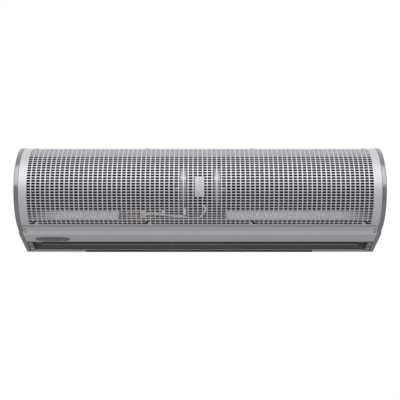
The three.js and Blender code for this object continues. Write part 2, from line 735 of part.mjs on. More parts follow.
// The wiring shelf is level. A flange hangs down its tongue side, and one stands up at its front.
function shelfLine() {
  const [from, to] = footAngles(SHELF_FRONT_TURN, SHELF_FLANGE_END_TURN);
  const front = frontArc(TRAY_FLANGE_RADIUS, from, to, 1);
  const share = tongueShare(front[0][1]);
  return [...besideTongue([share + SHELF_FLANGE_SHARE, share], TRAY_SEAT), ...front];
}

const SHELF_TOP = shelfLine()[1][1] + TRAY_SHEET / 2;

// A strip on the casing floor that carries the rear edge of the outlet.
function rearLip() {
  const floor = BOTTOM + SKIN_INSET + SHELL_SHEET + FIT;
  const tail = -SHELL_FLOOR_REACH + LIP_TAIL;
  const toe = -SHELL_FLOOR_REACH - FIT;
  const nose = [toe - LIP_NOSE, BOTTOM + SKIN_INSET + LIP_NOSE_RISE];
  const outline = [
    [tail, floor + LIP_SHEET],
    [toe, floor + LIP_SHEET],
    [nose[0], nose[1] + LIP_SHEET],
    nose,
    [toe - LIP_SHEET, BOTTOM + SKIN_INSET],
    [toe, BOTTOM + SKIN_INSET],
    [toe, floor],
    [tail, floor],
  ];
  const end = CORNER_INNER - FIT;
  return prism(outline, [-end, end]);
}

// A cross-flow wheel: end discs, thin rings between them, and blades right round the rim.
function wheel(sign) {
  const near = WHEEL_START;
  const far = WHEEL_END;
  const disc = (bore, start) => ring(bore, WHEEL_RADIUS, [sign * start, sign * (start + DISC_THICKNESS)]);
  const discs = [disc(HUB_RADIUS + FIT, near), disc(SHAFT_RADIUS + FIT, far - DISC_THICKNESS)];
  for (let index = 1; index <= RING_COUNT; index += 1) {
    discs.push(disc(RING_INNER_RADIUS, near + ((far - near) * index) / (RING_COUNT + 1)));
  }
  const line = [
    polar([0, 0], BLADE_INNER_RADIUS, 0),
    polar([0, 0], (BLADE_INNER_RADIUS + BLADE_OUTER_RADIUS) / 2, BLADE_CAMBER_ANGLE),
    polar([0, 0], BLADE_OUTER_RADIUS, BLADE_SWEEP_ANGLE),
  ];
  const ends = [sign * (near + DISC_THICKNESS / 2), sign * (far - DISC_THICKNESS / 2)];
  const blades = Array.from({ length: BLADE_COUNT }, (_, index) =>
    prism(sheet(line, BLADE_SHEET), ends).rotateX((2 * Math.PI * index) / BLADE_COUNT));
  return join([...discs, ...blades]);
}

// A hub with a flange, which ties the wheel's inner disc to the motor shaft.
function wheelHub(sign) {
  const bore = SHAFT_RADIUS + FIT;
  const face = WHEEL_START - FIT;
  const end = WHEEL_START + DISC_THICKNESS + HUB_TAIL;
  return turned([
    [bore, face - HUB_FLANGE_THICKNESS],
    [HUB_FLANGE_RADIUS, face - HUB_FLANGE_THICKNESS],
    [HUB_FLANGE_RADIUS, face],
    [HUB_RADIUS, face],
    [HUB_RADIUS, end],
    [bore, end],
  ].map(([radius, x]) => [radius, sign * x]));
}

// A rubber ring that clips into the side plate and holds the bearing bush.
function bearingHolder(sign) {
  const plate = [SIDE_INNER - FIT, SKIN_END + FIT];
  const outer = [plate[0] - BEARING_FLANGE_THICKNESS, plate[1] + BEARING_FLANGE_THICKNESS];
  return turned([
    [BUSH_RADIUS + FIT, outer[0]],
    [BEARING_FLANGE_RADIUS, outer[0]],
    [BEARING_FLANGE_RADIUS, plate[0]],
    [BEARING_HOLE_RADIUS - FIT, plate[0]],
    [BEARING_HOLE_RADIUS - FIT, plate[1]],
    [BEARING_FLANGE_RADIUS, plate[1]],
    [BEARING_FLANGE_RADIUS, outer[1]],
    [BUSH_RADIUS + FIT, outer[1]],
  ].map(([radius, x]) => [radius, sign * x]));
}

function bearingEnds(sign) {
  const reach = FIT + BEARING_FLANGE_THICKNESS;
  return [sign * (SIDE_INNER - reach), sign * (SKIN_END + reach)];
}

// A domed end shield: a rim over the motor tube, a flat face and a boss for the shaft.
function endShield(sign) {
  const rim = MOTOR_RADIUS + FIT;
  const outer = rim + SHIELD_WALL;
  const inside = SHIELD_FACE - SHIELD_WALL;
  return turned([
    [rim, SHIELD_RIM_START],
    [outer, SHIELD_RIM_START],
    [outer, SHIELD_FACE - SHIELD_WALL],
    [outer - SHIELD_WALL, SHIELD_FACE],
    [BOSS_RADIUS, SHIELD_FACE],
    [BOSS_RADIUS, BOSS_FACE],
    [BOSS_BORE_RADIUS, BOSS_FACE],
    [BOSS_BORE_RADIUS, inside],
    [rim, inside],
  ].map(([radius, x]) => [radius, sign * x]));
}

// Stator: a steel core with the ends of its winding standing out on both sides.
function stator() {
  const bore = ROTOR_RADIUS + AIR_GAP;
  const outer = MOTOR_RADIUS - MOTOR_TUBE_WALL - FIT;
  const end = CORE_HALF + WINDING_OVERHANG;
  return turned([
    [bore, -CORE_HALF],
    [WINDING_INNER_RADIUS, -CORE_HALF],
    [WINDING_INNER_RADIUS, -end],
    [WINDING_OUTER_RADIUS, -end],
    [WINDING_OUTER_RADIUS, -CORE_HALF],
    [outer, -CORE_HALF],
    [outer, CORE_HALF],
    [WINDING_OUTER_RADIUS, CORE_HALF],
    [WINDING_OUTER_RADIUS, end],
    [WINDING_INNER_RADIUS, end],
    [WINDING_INNER_RADIUS, CORE_HALF],
    [bore, CORE_HALF],
  ]);
}

// A motor bracket: a ring round the rubber, with one leg to the tongue and one to the scroll.
function motorBracket(sign) {
  const far = BRACKET_START + BRACKET_SHEET;
  const ends = [sign * BRACKET_START, sign * far];
  const leg = (degrees) => {
    const side = BRACKET_LEG_WIDTH / 2;
    const tip = polar(AXIS, BRACKET_LEG_REACH, degrees);
    return prism([
      polar(AXIS, side, degrees - 90),
      polar(tip, side, degrees - 90),
      polar(tip, side, degrees + 90),
      polar(AXIS, side, degrees + 90),
    ], ends);
  };
  const disc = prism(circle(AXIS, BRACKET_RADIUS, ROUND_STEPS), ends);
  const body = join([disc, leg(BRACKET_FRONT_LEG_ANGLE), leg(BRACKET_REAR_LEG_ANGLE)]);
  const bore = circle(AXIS, BOSS_RADIUS + FIT + RING_RUBBER + FIT, ROUND_STEPS);
  const hole = prism(bore, [sign * (BRACKET_START - OVERRUN), sign * (far + OVERRUN)]);
  return cut(common(body, prism(airway(FIT), ends)), [hole]);
}

// A strip of terminals with a notch for each wire clamp.
function terminalBlock() {
  const back = AXIS[0] - TERMINAL_REACH;
  const foot = SHELF_TOP + FIT;
  const top = foot + TERMINAL_HEIGHT;
  const pitch = TERMINAL_DEPTH / TERMINAL_POLES;
  const notch = pitch * TERMINAL_NOTCH_SHARE;
  const teeth = Array.from({ length: TERMINAL_POLES }, (_, index) => {
    const start = back - (index + TERMINAL_NOTCH_SHARE / 2) * pitch;
    return [
      [start, top],
      [start, top - TERMINAL_NOTCH_DEPTH],
      [start - notch, top - TERMINAL_NOTCH_DEPTH],
      [start - notch, top],
    ];
  }).flat();
  const front = back - TERMINAL_DEPTH;
  const outline = [[back, foot], [back, top], ...teeth, [front, top], [front, foot]];
  return prism(outline, [-TERMINAL_OFFSET - TERMINAL_WIDTH / 2, -TERMINAL_OFFSET + TERMINAL_WIDTH / 2]);
}

const CAPACITOR_AXIS = [AXIS[0] - CAPACITOR_REACH, SHELF_TOP + FIT + STRAP_SHEET + FIT + CAPACITOR_RADIUS];
const CAPACITOR_START = -CAPACITOR_OFFSET - CAPACITOR_LENGTH / 2;
const CAPACITOR_ENDS = [CAPACITOR_START, CAPACITOR_START + CAPACITOR_LENGTH];

// A strap round the capacitor, with a foot on the shelf.
function capacitorStrap() {
  const inner = CAPACITOR_RADIUS + FIT;
  const outer = inner + STRAP_SHEET;
  const start = CAPACITOR_START + CAPACITOR_LENGTH * STRAP_PLACE_SHARE;
  const ends = [start, start + STRAP_WIDTH];
  const foot = CAPACITOR_AXIS[1] - outer;
  const tab = prism([
    [CAPACITOR_AXIS[0], foot],
    [CAPACITOR_AXIS[0] - outer, foot],
    [CAPACITOR_AXIS[0] - outer, foot + STRAP_SHEET],
    [CAPACITOR_AXIS[0], foot + STRAP_SHEET],
  ], ends);
  const band = prism(circle(CAPACITOR_AXIS, outer, ROUND_STEPS), ends);
  const bore = prism(circle(CAPACITOR_AXIS, inner, ROUND_STEPS), [ends[0] - OVERRUN, ends[1] + OVERRUN]);
  return cut(join([band, tab]), [bore]);
}

// A vane end: a block on the end of the blade with a pin that turns in the side plate.
function vaneEnd(sign) {
  const outer = CORNER_INNER - VANE_END_GAP;
  const ends = [sign * (outer - VANE_END_LENGTH), sign * outer];
  const corner = VANE_END_CORNER;
  const y = VANE_END_THICKNESS / 2;
  const z = VANE_END_HEIGHT / 2;
  const body = prism([
    [y, corner - z], [y, z - corner], [y - corner, z], [corner - y, z],
    [-y, z - corner], [-y, corner - z], [corner - y, -z], [y - corner, -z],
  ], ends);
  const pinEnds = [sign * (outer - VANE_END_LENGTH / 2), sign * (HALF - CAP_WALL - VANE_PIN_END_GAP)];
  return join([body, rod(VANE_PIN_RADIUS, pinEnds, SMALL_ROUND_STEPS)]);
}

function vaneBlade() {
  const steps = SMALL_ROUND_STEPS;
  const outline = Array.from({ length: steps }, (_, index) => {
    const turn = (2 * Math.PI * index) / steps;
    return [(VANE_THICKNESS / 2) * Math.cos(turn), (VANE_CHORD / 2) * Math.sin(turn)];
  });
  const end = CORNER_INNER - VANE_END_GAP - VANE_END_LENGTH - FIT;
  return prism(outline, [-end, end]);
}

// A pan head screw along +Y, with its head above the origin.
function panScrew(length) {
  const rim = SCREW_HEAD_HEIGHT * SCREW_RIM_SHARE;
  const crown = SCREW_HEAD_RADIUS * SCREW_CROWN_SHARE;
  const profile = [
    [0, -length],
    [SCREW_SHANK_RADIUS, -length],
    [SCREW_SHANK_RADIUS, FIT],
    [SCREW_HEAD_RADIUS, FIT],
    [SCREW_HEAD_RADIUS, FIT + rim],
    [crown, FIT + SCREW_HEAD_HEIGHT],
    [0, FIT + SCREW_HEAD_HEIGHT],
  ].map(([radius, y]) => new THREE.Vector2(radius, y));
  return outward(new THREE.LatheGeometry(profile, SCREW_STEPS));
}

function addScrew(parent, name, length, x, point, degrees) {
  const screw = addPart(parent, name, panScrew(length), BRIGHT_STEEL);
  screw.position.set(x, point[0], point[1]);
  screw.rotation.x = radians(degrees);
}

// The plate that is screwed to the wall, with two hooks that carry the casing.
function wallPlate() {
  const middle = TOP - PLATE_DROP;
  const plate = block([PLATE_LENGTH, PLATE_THICKNESS, PLATE_HEIGHT], [0, -PLATE_THICKNESS / 2, middle]);
  const inner = SHELL_BACK - SHELL_SHEET / 2 - FIT;
  const far = inner - PLATE_THICKNESS;
  const hooks = SIDES.flatMap(({ sign }) => [
    block([HOOK_WIDTH, -far - PLATE_THICKNESS / 2, PLATE_THICKNESS],
      [sign * HOOK_OFFSET, (far - PLATE_THICKNESS / 2) / 2, HOOK_HEIGHT + PLATE_THICKNESS / 2]),
    block([HOOK_WIDTH, PLATE_THICKNESS, PLATE_THICKNESS + HOOK_RISE],
      [sign * HOOK_OFFSET, (far + inner) / 2, HOOK_HEIGHT + (PLATE_THICKNESS + HOOK_RISE) / 2]),
  ]);
  const reachX = PLATE_LENGTH / 2 - PLATE_HOLE_MARGIN;
  const reachZ = PLATE_HEIGHT / 2 - PLATE_HOLE_MARGIN;
  const drills = SIDES.flatMap(({ sign }) => [middle - reachZ, middle + reachZ].map((z) =>
    borer(sign * reachX, [-PLATE_THICKNESS / 2, z], 0, PLATE_HOLE_RADIUS, PLATE_THICKNESS + OVERRUN)));
  return cut(join([plate, ...hooks]), drills);
}

// A rubber grommet about +Y, which the supply cable would pass through.
function grommet() {
  const half = SHELL_SHEET / 2 + FIT;
  const face = half + GROMMET_FLANGE_THICKNESS;
  const profile = [
    [GROMMET_BORE, -face], [GROMMET_FLANGE, -face], [GROMMET_FLANGE, -half], [GROMMET_RADIUS, -half],
    [GROMMET_RADIUS, half], [GROMMET_FLANGE, half], [GROMMET_FLANGE, face], [GROMMET_BORE, face],
    [GROMMET_BORE, -face],
  ].map(([radius, y]) => new THREE.Vector2(radius, y));
  return outward(new THREE.LatheGeometry(profile, SMALL_ROUND_STEPS));
}

const airCurtain = new THREE.Group();

// Casing
const casing = new THREE.Group();
airCurtain.add(casing);
addPart(casing, 'wall_plate', wallPlate(), GALVANISED);
addPart(casing, 'rear_shell', rearShell(), GALVANISED);
addPart(casing, 'front_grille', frontGrille(), SATIN_PLATE);
addPart(casing, 'front_fascia', frontFascia(), SATIN_EXTRUSION);
addPart(casing, 'rear_lip', rearLip(), SATIN_EXTRUSION);
for (const { name, sign } of SIDES) {
  addPart(casing, `${name}_end_cap`, endCap(sign), CAP_GREY);
  addPart(casing, `${name}_side_plate`, sidePlate(sign), CORNER_STEEL);
  for (const place of cornerScrewPlaces(sign)) {
    const screw = `${name}_corner_screw_${place.name}`;
    addScrew(casing, screw, CORNER_SCREW_LENGTH, place.x, place.point, -90 - OUTLET_SLOPE);
  }
}
for (const { name, x, angle } of GRILLE_SCREWS) {
  addScrew(casing, name, SCREW_LENGTH, x, polar(ARC_CENTRE, GRILLE_OUTER, angle), angle);
}

const badge = new THREE.Group();
const [badgeTop, badgeFoot] = offset([BROW, FRONT_LIP], SKIN_INSET - FIT - BADGE_THICKNESS / 2);
badge.position.set(-BADGE_OFFSET, (badgeTop[0] + badgeFoot[0]) / 2, (badgeTop[1] + badgeFoot[1]) / 2);
badge.rotation.x = radians(180 - LOWER_BAND_SLOPE);
casing.add(badge);
const oval = new THREE.CylinderGeometry(1, 1, BADGE_THICKNESS, ROUND_STEPS).rotateX(Math.PI / 2);
addPart(badge, 'badge_plate', oval.scale(BADGE_LENGTH / 2, BADGE_HEIGHT / 2, 1), BADGE_GREY);

const inlet = addPart(casing, 'cable_grommet', grommet(), RUBBER);
inlet.position.set(GROMMET_OFFSET, -GROMMET_DEPTH, TOP - SKIN_INSET - SHELL_SHEET / 2);
inlet.rotation.x = Math.PI / 2;

// Air passage
const passage = new THREE.Group();
airCurtain.add(passage);
const guideEnds = [-GUIDE_END, GUIDE_END];
addPart(passage, 'scroll_plate', prism(sheet(scrollLine(), GUIDE_SHEET), guideEnds), GALVANISED);
addPart(passage, 'tongue_plate', prism(sheet(tongueLine(), GUIDE_SHEET), guideEnds), GALVANISED);
addPart(passage, 'left_tray_cover', trayCover([-GUIDE_END, -BAY_LEFT - FIT]), GALVANISED);
addPart(passage, 'right_tray_cover', trayCover([BAY_RIGHT + FIT, GUIDE_END]), GALVANISED);
addPart(passage, 'wiring_shelf', prism(sheet(shelfLine(), TRAY_SHEET), [-BAY_LEFT, BAY_RIGHT]), DARK_STEEL);

// Wiring
const wiring = new THREE.Group();
airCurtain.add(wiring);
addPart(wiring, 'terminal_block', terminalBlock(), CREAM);
const can = circle(CAPACITOR_AXIS, CAPACITOR_RADIUS, ROUND_STEPS);
addPart(wiring, 'capacitor', prism(can, CAPACITOR_ENDS), MOTOR_BLACK);
addPart(wiring, 'capacitor_strap', capacitorStrap(), BRIGHT_STEEL);

// The wires' routes, as [x, y, z] points chosen by hand, with y from the wheel axis and z from the
// top of the shelf. The brown wire joins the terminals to the capacitor. The red one and the white
// lead run from the terminals to the motor.
const BROWN_ROUTE = [
  [-147.3, -59, 12.3], [-154, -59, 12.3], [-164, -57.5, 10.3], [-170, -52, 6.3], [-166, -45, 3.3],
  [-155, -41.5, 2.7], [-140, -40.8, 2.7], [-124, -42, 3.8], [-116, -48, 8.3],
  [-112.5, -51.6, 12.9], [-108.5, -51.6, 12.9],
];
const RED_ROUTE = [
  [-147.4, -51, 16.3], [-154, -51, 16.7], [-162, -46.5, 15.3], [-159, -42, 10.3], [-150, -41.4, 8.8],
  [-138, -41.6, 11.3], [-124, -43.6, 18.3], [-106, -44.8, 25.3], [-84, -45, 25.9], [-62, -45, 25.9],
  [-44, -44.6, 26.3], [-28, -41.6, 28.9], [-21, -37.6, 33.5], [-20, -34, 37.8],
];
const MOTOR_LEAD_ROUTE = [
  [-134.7, -56, 13.3], [-128, -56, 13.7], [-119, -54, 22.3], [-110, -51, 29.3], [-97, -50, 30.7],
  [-80, -50, 30.9], [-62, -50, 29.9], [-44, -50, 25.3], [-24, -51, 15.3], [-6, -53, 7.3],
  [8, -52.5, 7.3], [14, -49, 15.3], [12.5, -45, 24.3], [10.5, -40.6, 30.7], [10, -35.6, 35.7],
];
addPart(wiring, 'brown_wire', tube(BROWN_ROUTE, WIRE_RADIUS), WIRE_BROWN);
addPart(wiring, 'red_wire', tube(RED_ROUTE, WIRE_RADIUS), WIRE_RED);
addPart(wiring, 'motor_lead', tube(MOTOR_LEAD_ROUTE, MOTOR_LEAD_RADIUS), WIRE_WHITE);
const splice = rod(SPLICE_RADIUS, [-SPLICE_LENGTH / 2, SPLICE_LENGTH / 2], SMALL_ROUND_STEPS);
const spliceCap = addPart(wiring, 'splice_cap', splice, WIRE_WHITE);
spliceCap.position.set(-SPLICE_OFFSET, AXIS[0] - SPLICE_REACH, SHELF_TOP + FIT + SPLICE_RADIUS);

// Motor
const motor = new THREE.Group();
motor.position.set(0, ...AXIS);
airCurtain.add(motor);
const tubeEnds = [-MOTOR_TUBE_HALF, MOTOR_TUBE_HALF];
addPart(motor, 'motor_tube', ring(MOTOR_RADIUS - MOTOR_TUBE_WALL, MOTOR_RADIUS, tubeEnds), MOTOR_BLACK);
addPart(motor, 'stator_core', stator(), LAMINATION);
for (const { name, sign } of SIDES) {
  addPart(motor, `${name}_end_shield`, endShield(sign), CAST_ALUMINIUM);
  const rubber = [BOSS_RADIUS + FIT, BOSS_RADIUS + FIT + RING_RUBBER];
  addPart(motor, `${name}_rubber_ring`, ring(...rubber, [sign * RING_START, sign * BOSS_FACE]), RUBBER);
  addPart(airCurtain, `${name}_motor_bracket`, motorBracket(sign), GALVANISED);
}
const labelBand = (radius) => Array.from({ length: BEND_STEPS + 1 }, (_, index) => {
  const elevation = LABEL_FOOT_ANGLE + ((LABEL_TOP_ANGLE - LABEL_FOOT_ANGLE) * index) / BEND_STEPS;
  return polar([0, 0], radius, 180 - elevation);
});
const labelInner = MOTOR_RADIUS + 2 * FIT;
const labelOutline = [...labelBand(labelInner), ...labelBand(labelInner + LABEL_THICKNESS).reverse()];
const labelEnds = [-LABEL_OFFSET - LABEL_WIDTH / 2, -LABEL_OFFSET + LABEL_WIDTH / 2];
addPart(motor, 'motor_label', prism(labelOutline, labelEnds), LABEL_WHITE);

// Everything that spins
const rotor = new THREE.Group();
rotor.position.set(0, ...AXIS);
airCurtain.add(rotor);
const shaft = rod(SHAFT_RADIUS, [-SHAFT_REACH, SHAFT_REACH], SMALL_ROUND_STEPS);
addPart(rotor, 'motor_shaft', shaft, BRIGHT_STEEL);
const rotorCore = ring(SHAFT_RADIUS + FIT, ROTOR_RADIUS, [-CORE_HALF, CORE_HALF]);
addPart(rotor, 'rotor_core', rotorCore, LAMINATION);
for (const { name, sign } of SIDES) {
  addPart(rotor, `${name}_wheel`, wheel(sign), WHEEL_BLACK);
  addPart(rotor, `${name}_wheel_hub`, wheelHub(sign), DARK_STEEL);
  const stub = [sign * (WHEEL_END - DISC_THICKNESS - STUB_INNER_REACH), bearingEnds(sign)[1]];
  addPart(rotor, `${name}_stub_shaft`, rod(SHAFT_RADIUS, stub, SMALL_ROUND_STEPS), BRIGHT_STEEL);
}

// Outer bearings
const bearings = new THREE.Group();
bearings.position.set(0, ...AXIS);
airCurtain.add(bearings);
for (const { name, sign } of SIDES) {
  addPart(bearings, `${name}_bearing_holder`, bearingHolder(sign), RUBBER);
  const bush = ring(SHAFT_RADIUS + SHAFT_BORE_GAP, BUSH_RADIUS, bearingEnds(sign), SMALL_ROUND_STEPS);
  addPart(bearings, `${name}_bearing_bush`, bush, BRONZE);
}

// Guide vane, tilted with the outlet
const vane = new THREE.Group();
vane.position.set(0, ...VANE_PIVOT);
vane.rotation.x = radians(-OUTLET_SLOPE);
airCurtain.add(vane);
addPart(vane, 'guide_vane', vaneBlade(), VANE_GREY);
for (const { name, sign } of SIDES) addPart(vane, `${name}_vane_end`, vaneEnd(sign), VANE_GREY);

export default airCurtain;
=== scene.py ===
# An air curtain on its wall plate: a long casing with a perforated, rounded front, a stepped
# extrusion under it and a slanted outlet. Behind the front lie a motor, two cross-flow wheels and
# a wiring bay. +X points to the right of someone who faces it, +Y into the wall and +Z up.
# Sizes are in millimetres, and MM turns them into metres. What is called an angle is in degrees.

import json
import math

import bpy
import numpy as np
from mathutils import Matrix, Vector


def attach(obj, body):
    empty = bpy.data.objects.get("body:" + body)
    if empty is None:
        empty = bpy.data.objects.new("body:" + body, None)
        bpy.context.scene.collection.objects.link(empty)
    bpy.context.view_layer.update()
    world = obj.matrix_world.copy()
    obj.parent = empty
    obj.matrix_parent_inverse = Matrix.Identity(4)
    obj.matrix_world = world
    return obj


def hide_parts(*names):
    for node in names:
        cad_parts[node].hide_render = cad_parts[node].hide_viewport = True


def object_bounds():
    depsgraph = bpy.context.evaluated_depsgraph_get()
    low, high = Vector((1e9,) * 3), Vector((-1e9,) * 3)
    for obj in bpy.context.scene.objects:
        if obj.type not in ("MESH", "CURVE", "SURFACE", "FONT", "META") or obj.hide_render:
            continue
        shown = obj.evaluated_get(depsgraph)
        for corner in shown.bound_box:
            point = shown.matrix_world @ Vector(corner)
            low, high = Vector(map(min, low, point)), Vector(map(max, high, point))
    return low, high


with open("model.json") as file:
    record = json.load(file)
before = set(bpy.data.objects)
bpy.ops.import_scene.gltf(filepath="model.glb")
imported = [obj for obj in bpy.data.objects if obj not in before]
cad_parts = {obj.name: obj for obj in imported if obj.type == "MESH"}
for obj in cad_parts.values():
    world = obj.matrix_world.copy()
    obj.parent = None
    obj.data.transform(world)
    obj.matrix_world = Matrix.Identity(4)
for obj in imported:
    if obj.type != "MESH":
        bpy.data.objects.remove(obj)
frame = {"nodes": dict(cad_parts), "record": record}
cad_low, cad_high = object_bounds()
MM = 0.001

# Camera
# It stands level with the middle of the casing and 2.14 m in front of it. The rows of holes and
# the ends of the casing close up in the photo as they do from there.
CAMERA_GAP = 2144 * MM
CAMERA_PLACE = (-0.3 * MM, 2.5 * MM)
SENSOR_WIDTH = 36
IMAGE_PIXELS = 400
FOCAL_PIXELS = 891.2
FAR_CLIP = 100


def linked(name, data):
    """A new object with that data, in the scene."""
    made = bpy.data.objects.new(name, data)
    bpy.context.scene.collection.objects.link(made)
    return made


camera_data = bpy.data.cameras.new("photo_camera")
camera_data.sensor_width = SENSOR_WIDTH
camera_data.lens = FOCAL_PIXELS * SENSOR_WIDTH / IMAGE_PIXELS
camera_data.clip_end = FAR_CLIP
camera = linked("photo_camera", camera_data)
camera.location = (CAMERA_PLACE[0], cad_low.y - CAMERA_GAP, CAMERA_PLACE[1])
camera.rotation_euler = (math.pi / 2, 0, 0)
bpy.context.scene.camera = camera
bpy.context.scene.view_settings.view_transform = "Standard"


# Finishes
# Every finish is a tree of shader nodes. A value in it is a Signal, which Python's operators
# combine. A Finish makes the nodes, and keeps its surface in finishes under its name.
finishes = {}


class Signal:
    """The output of a shader node. An expression on signals and numbers adds Math nodes."""

    def __init__(self, finish, socket):
        self.finish = finish
        self.socket = socket

    def maths(self, operation, *values):
        """What a Math node makes of these values."""
        return self.finish.node("ShaderNodeMath", {"operation": operation}, dict(enumerate(values)))

    def __add__(self, other):
        return self.maths("ADD", self, other)

    def __rsub__(self, other):
        return self.maths("SUBTRACT", other, self)

    def __mul__(self, other):
        return self.maths("MULTIPLY", self, other)

    def __abs__(self):
        return self.maths("ABSOLUTE", self)

    def wave(self, pitch):
        """A wave from 0 to 1 that repeats at each pitch."""
        return self.maths("SINE", self * (2 * math.pi / pitch)) * 0.5 + 0.5

    def capped(self):
        """The value, held between 0 and 1."""
        return self.maths("MAXIMUM", self.maths("MINIMUM", self, 1), 0)

    def step(self, low, high):
        """0 below low and 1 above high, with a smooth climb between them."""
        settings = {"interpolation_type": "SMOOTHSTEP"}
        return self.finish.node("ShaderNodeMapRange", settings, {0: self, 1: low, 2: high})


class Finish:
    """One finish and its node tree."""

    def __init__(self, name, tree=None):
        self.name = name
        if tree is None:
            self.material = bpy.data.materials.new(name)
            self.material.use_nodes = True
            tree = self.material.node_tree
        tree.nodes.clear()
        self.tree = tree
        self.places = None

    def set(self, socket, value):
        """Link a socket to a signal, or give it a plain value."""
        if isinstance(value, Signal):
            self.tree.links.new(value.socket, socket)
        elif socket.type == "RGBA" and len(value) == 3:
            socket.default_value = (*value, 1)
        else:
            socket.default_value = value

    def node(self, kind, settings=None, values=None, output=0):
        """A node of that kind, its settings first and then its sockets' values or links."""
        made = self.tree.nodes.new(kind)
        for name, value in (settings or {}).items():
            setattr(made, name, value)
        for name, value in (values or {}).items():
            self.set(made.inputs[name], value)
        return Signal(self, made.outputs[output]) if made.outputs else None

    def place(self):
        """The point on the piece, in the object's own metres."""
        if self.places is None:
            self.places = self.node("ShaderNodeTexCoord", output="Object")
        return self.places

    def parts(self, vector):
        """The three numbers of a vector or a colour, each as a signal of its own."""
        split = self.node("ShaderNodeSeparateXYZ", values={0: vector}).socket.node
        return [Signal(self, socket) for socket in split.outputs]

    def texture(self, kind, size, stretch=(1, 1, 1), output=0, **values):
        """A texture whose grains are about that size, longer by stretch on each axis."""
        scale = tuple(1 / (size * MM * reach) for reach in stretch)
        moved = self.node("ShaderNodeMapping", values={3: scale, 0: self.place()})
        return self.node(kind, values={"Vector": moved, "Scale": 1.0, **values}, output=output)

    def noise(self, size, stretch=(1, 1, 1), detail=2.0):
        """Cloudy noise from 0 to 1."""
        return self.texture("ShaderNodeTexNoise", size, stretch, Detail=detail)

    def cells(self, size):
        """A random value from 0 to 1 for each of many small crystals."""
        return self.parts(self.texture("ShaderNodeTexVoronoi", size, output="Color"))[0]

    def mix(self, share, first, second):
        """A colour that goes from first to second as share goes from 0 to 1."""
        values = {0: share, 6: first, 7: second}
        return self.node("ShaderNodeMix", {"data_type": "RGBA"}, values, output=2)

    def bump(self, height, depth):
        """A normal for a relief of that depth in millimetres, where height goes from 0 to 1."""
        values = {"Height": height, "Distance": depth * MM, "Strength": 1.0}
        return self.node("ShaderNodeBump", values=values)

    def surface(self, colour, roughness, metallic=0.0, **others):
        """The principled surface. Others are further sockets by name, with _ for a space."""
        values = {"Base Color": colour, "Roughness": roughness, "Metallic": metallic}
        values.update({name.replace("_", " "): value for name, value in others.items()})
        shader = self.node("ShaderNodeBsdfPrincipled", values=values)
        self.node("ShaderNodeOutputMaterial", values={"Surface": shader})
        finishes[self.name] = self.material


def tones(colour, *factors):
    """The colour made lighter or darker by each factor, and no lighter than white."""
    return [tuple(min(1.0, part * factor) for part in colour) for factor in factors]


# Light
# One wide soft box hangs in front and above, as the bright band on the casing shows. The room is
# pale, darker on the camera's side, and a pale floor lies far below the casing.
ROOM_DIFFUSE = 0.345
ROOM_DIFFUSE_FRONT = 0.35
ROOM_DIFFUSE_UP = 0.16
ROOM_FRONT = 0.3
ROOM_UP = 0.17
ROOM_BACK = 0.5
ROOM_BACK_STEP = (-0.2, 0.7)
BOX_SIZE = (3.4, 2.4)
BOX_ELEVATION_ANGLE = 45
BOX_DISTANCE = 2.3
BOX_POWER = 38
FLOOR_DROP = 1.3
FLOOR_HALF = 3.1
FLOOR_COLOUR = (0.55, 0.55, 0.555)
FLOOR_GLOW = 0.7

room = bpy.data.worlds.new("room")
room.use_nodes = True
bpy.context.scene.world = room
sky = Finish("room", room.node_tree)
direction = sky.node("ShaderNodeTexCoord", output="Generated")
_, back, up = sky.parts(direction)
gloss_level = (up * ROOM_UP + back.step(*ROOM_BACK_STEP) * ROOM_BACK + ROOM_FRONT).capped()
diffuse_level = up * ROOM_DIFFUSE_UP + (0 - back).capped() * ROOM_DIFFUSE_FRONT + ROOM_DIFFUSE
is_camera, is_glossy, is_transmission = (
    sky.node("ShaderNodeLightPath", output=name)
    for name in ("Is Camera Ray", "Is Glossy Ray", "Is Transmission Ray")
)
shown = (is_camera + is_transmission).capped()
level = shown + (1 - shown) * (is_glossy * gloss_level + (1 - is_glossy) * diffuse_level)
light = sky.node("ShaderNodeBackground", values={"Color": (1, 1, 1), "Strength": level})
sky.node("ShaderNodeOutputWorld", values={"Surface": light})

box_data = bpy.data.lights.new("soft_box", "AREA")
box_data.shape = "RECTANGLE"
box_data.size, box_data.size_y = BOX_SIZE
box_data.energy = BOX_POWER
box_light = linked("soft_box", box_data)
box_angle = math.radians(BOX_ELEVATION_ANGLE)
box_light.location = (
    0, cad_low.y - BOX_DISTANCE * math.cos(box_angle), BOX_DISTANCE * math.sin(box_angle),
)
box_light.rotation_euler = (math.pi / 2 - box_angle, 0, 0)

floor_mesh = bpy.data.meshes.new("floor")
floor_corners = [(-1, -1), (1, -1), (1, 1), (-1, 1)]
floor_points = [(x * FLOOR_HALF, y * FLOOR_HALF, -FLOOR_DROP) for x, y in floor_corners]
floor_mesh.from_pydata(floor_points, [], [(0, 1, 2, 3)])
floor = linked("floor", floor_mesh)
paper = Finish("floor_paper")
seen = paper.node("ShaderNodeLightPath", output="Is Camera Ray")
sheet = paper.node("ShaderNodeBsdfPrincipled", values={"Base Color": FLOOR_COLOUR, "Roughness": 0.9})
glow = paper.node("ShaderNodeEmission", values={"Color": (1, 1, 1), "Strength": 1.0})
blend = paper.node("ShaderNodeMixShader", values={0: seen * FLOOR_GLOW, 1: sheet, 2: glow})
paper.node("ShaderNodeOutputMaterial", values={"Surface": blend})
floor_mesh.materials.append(paper.material)

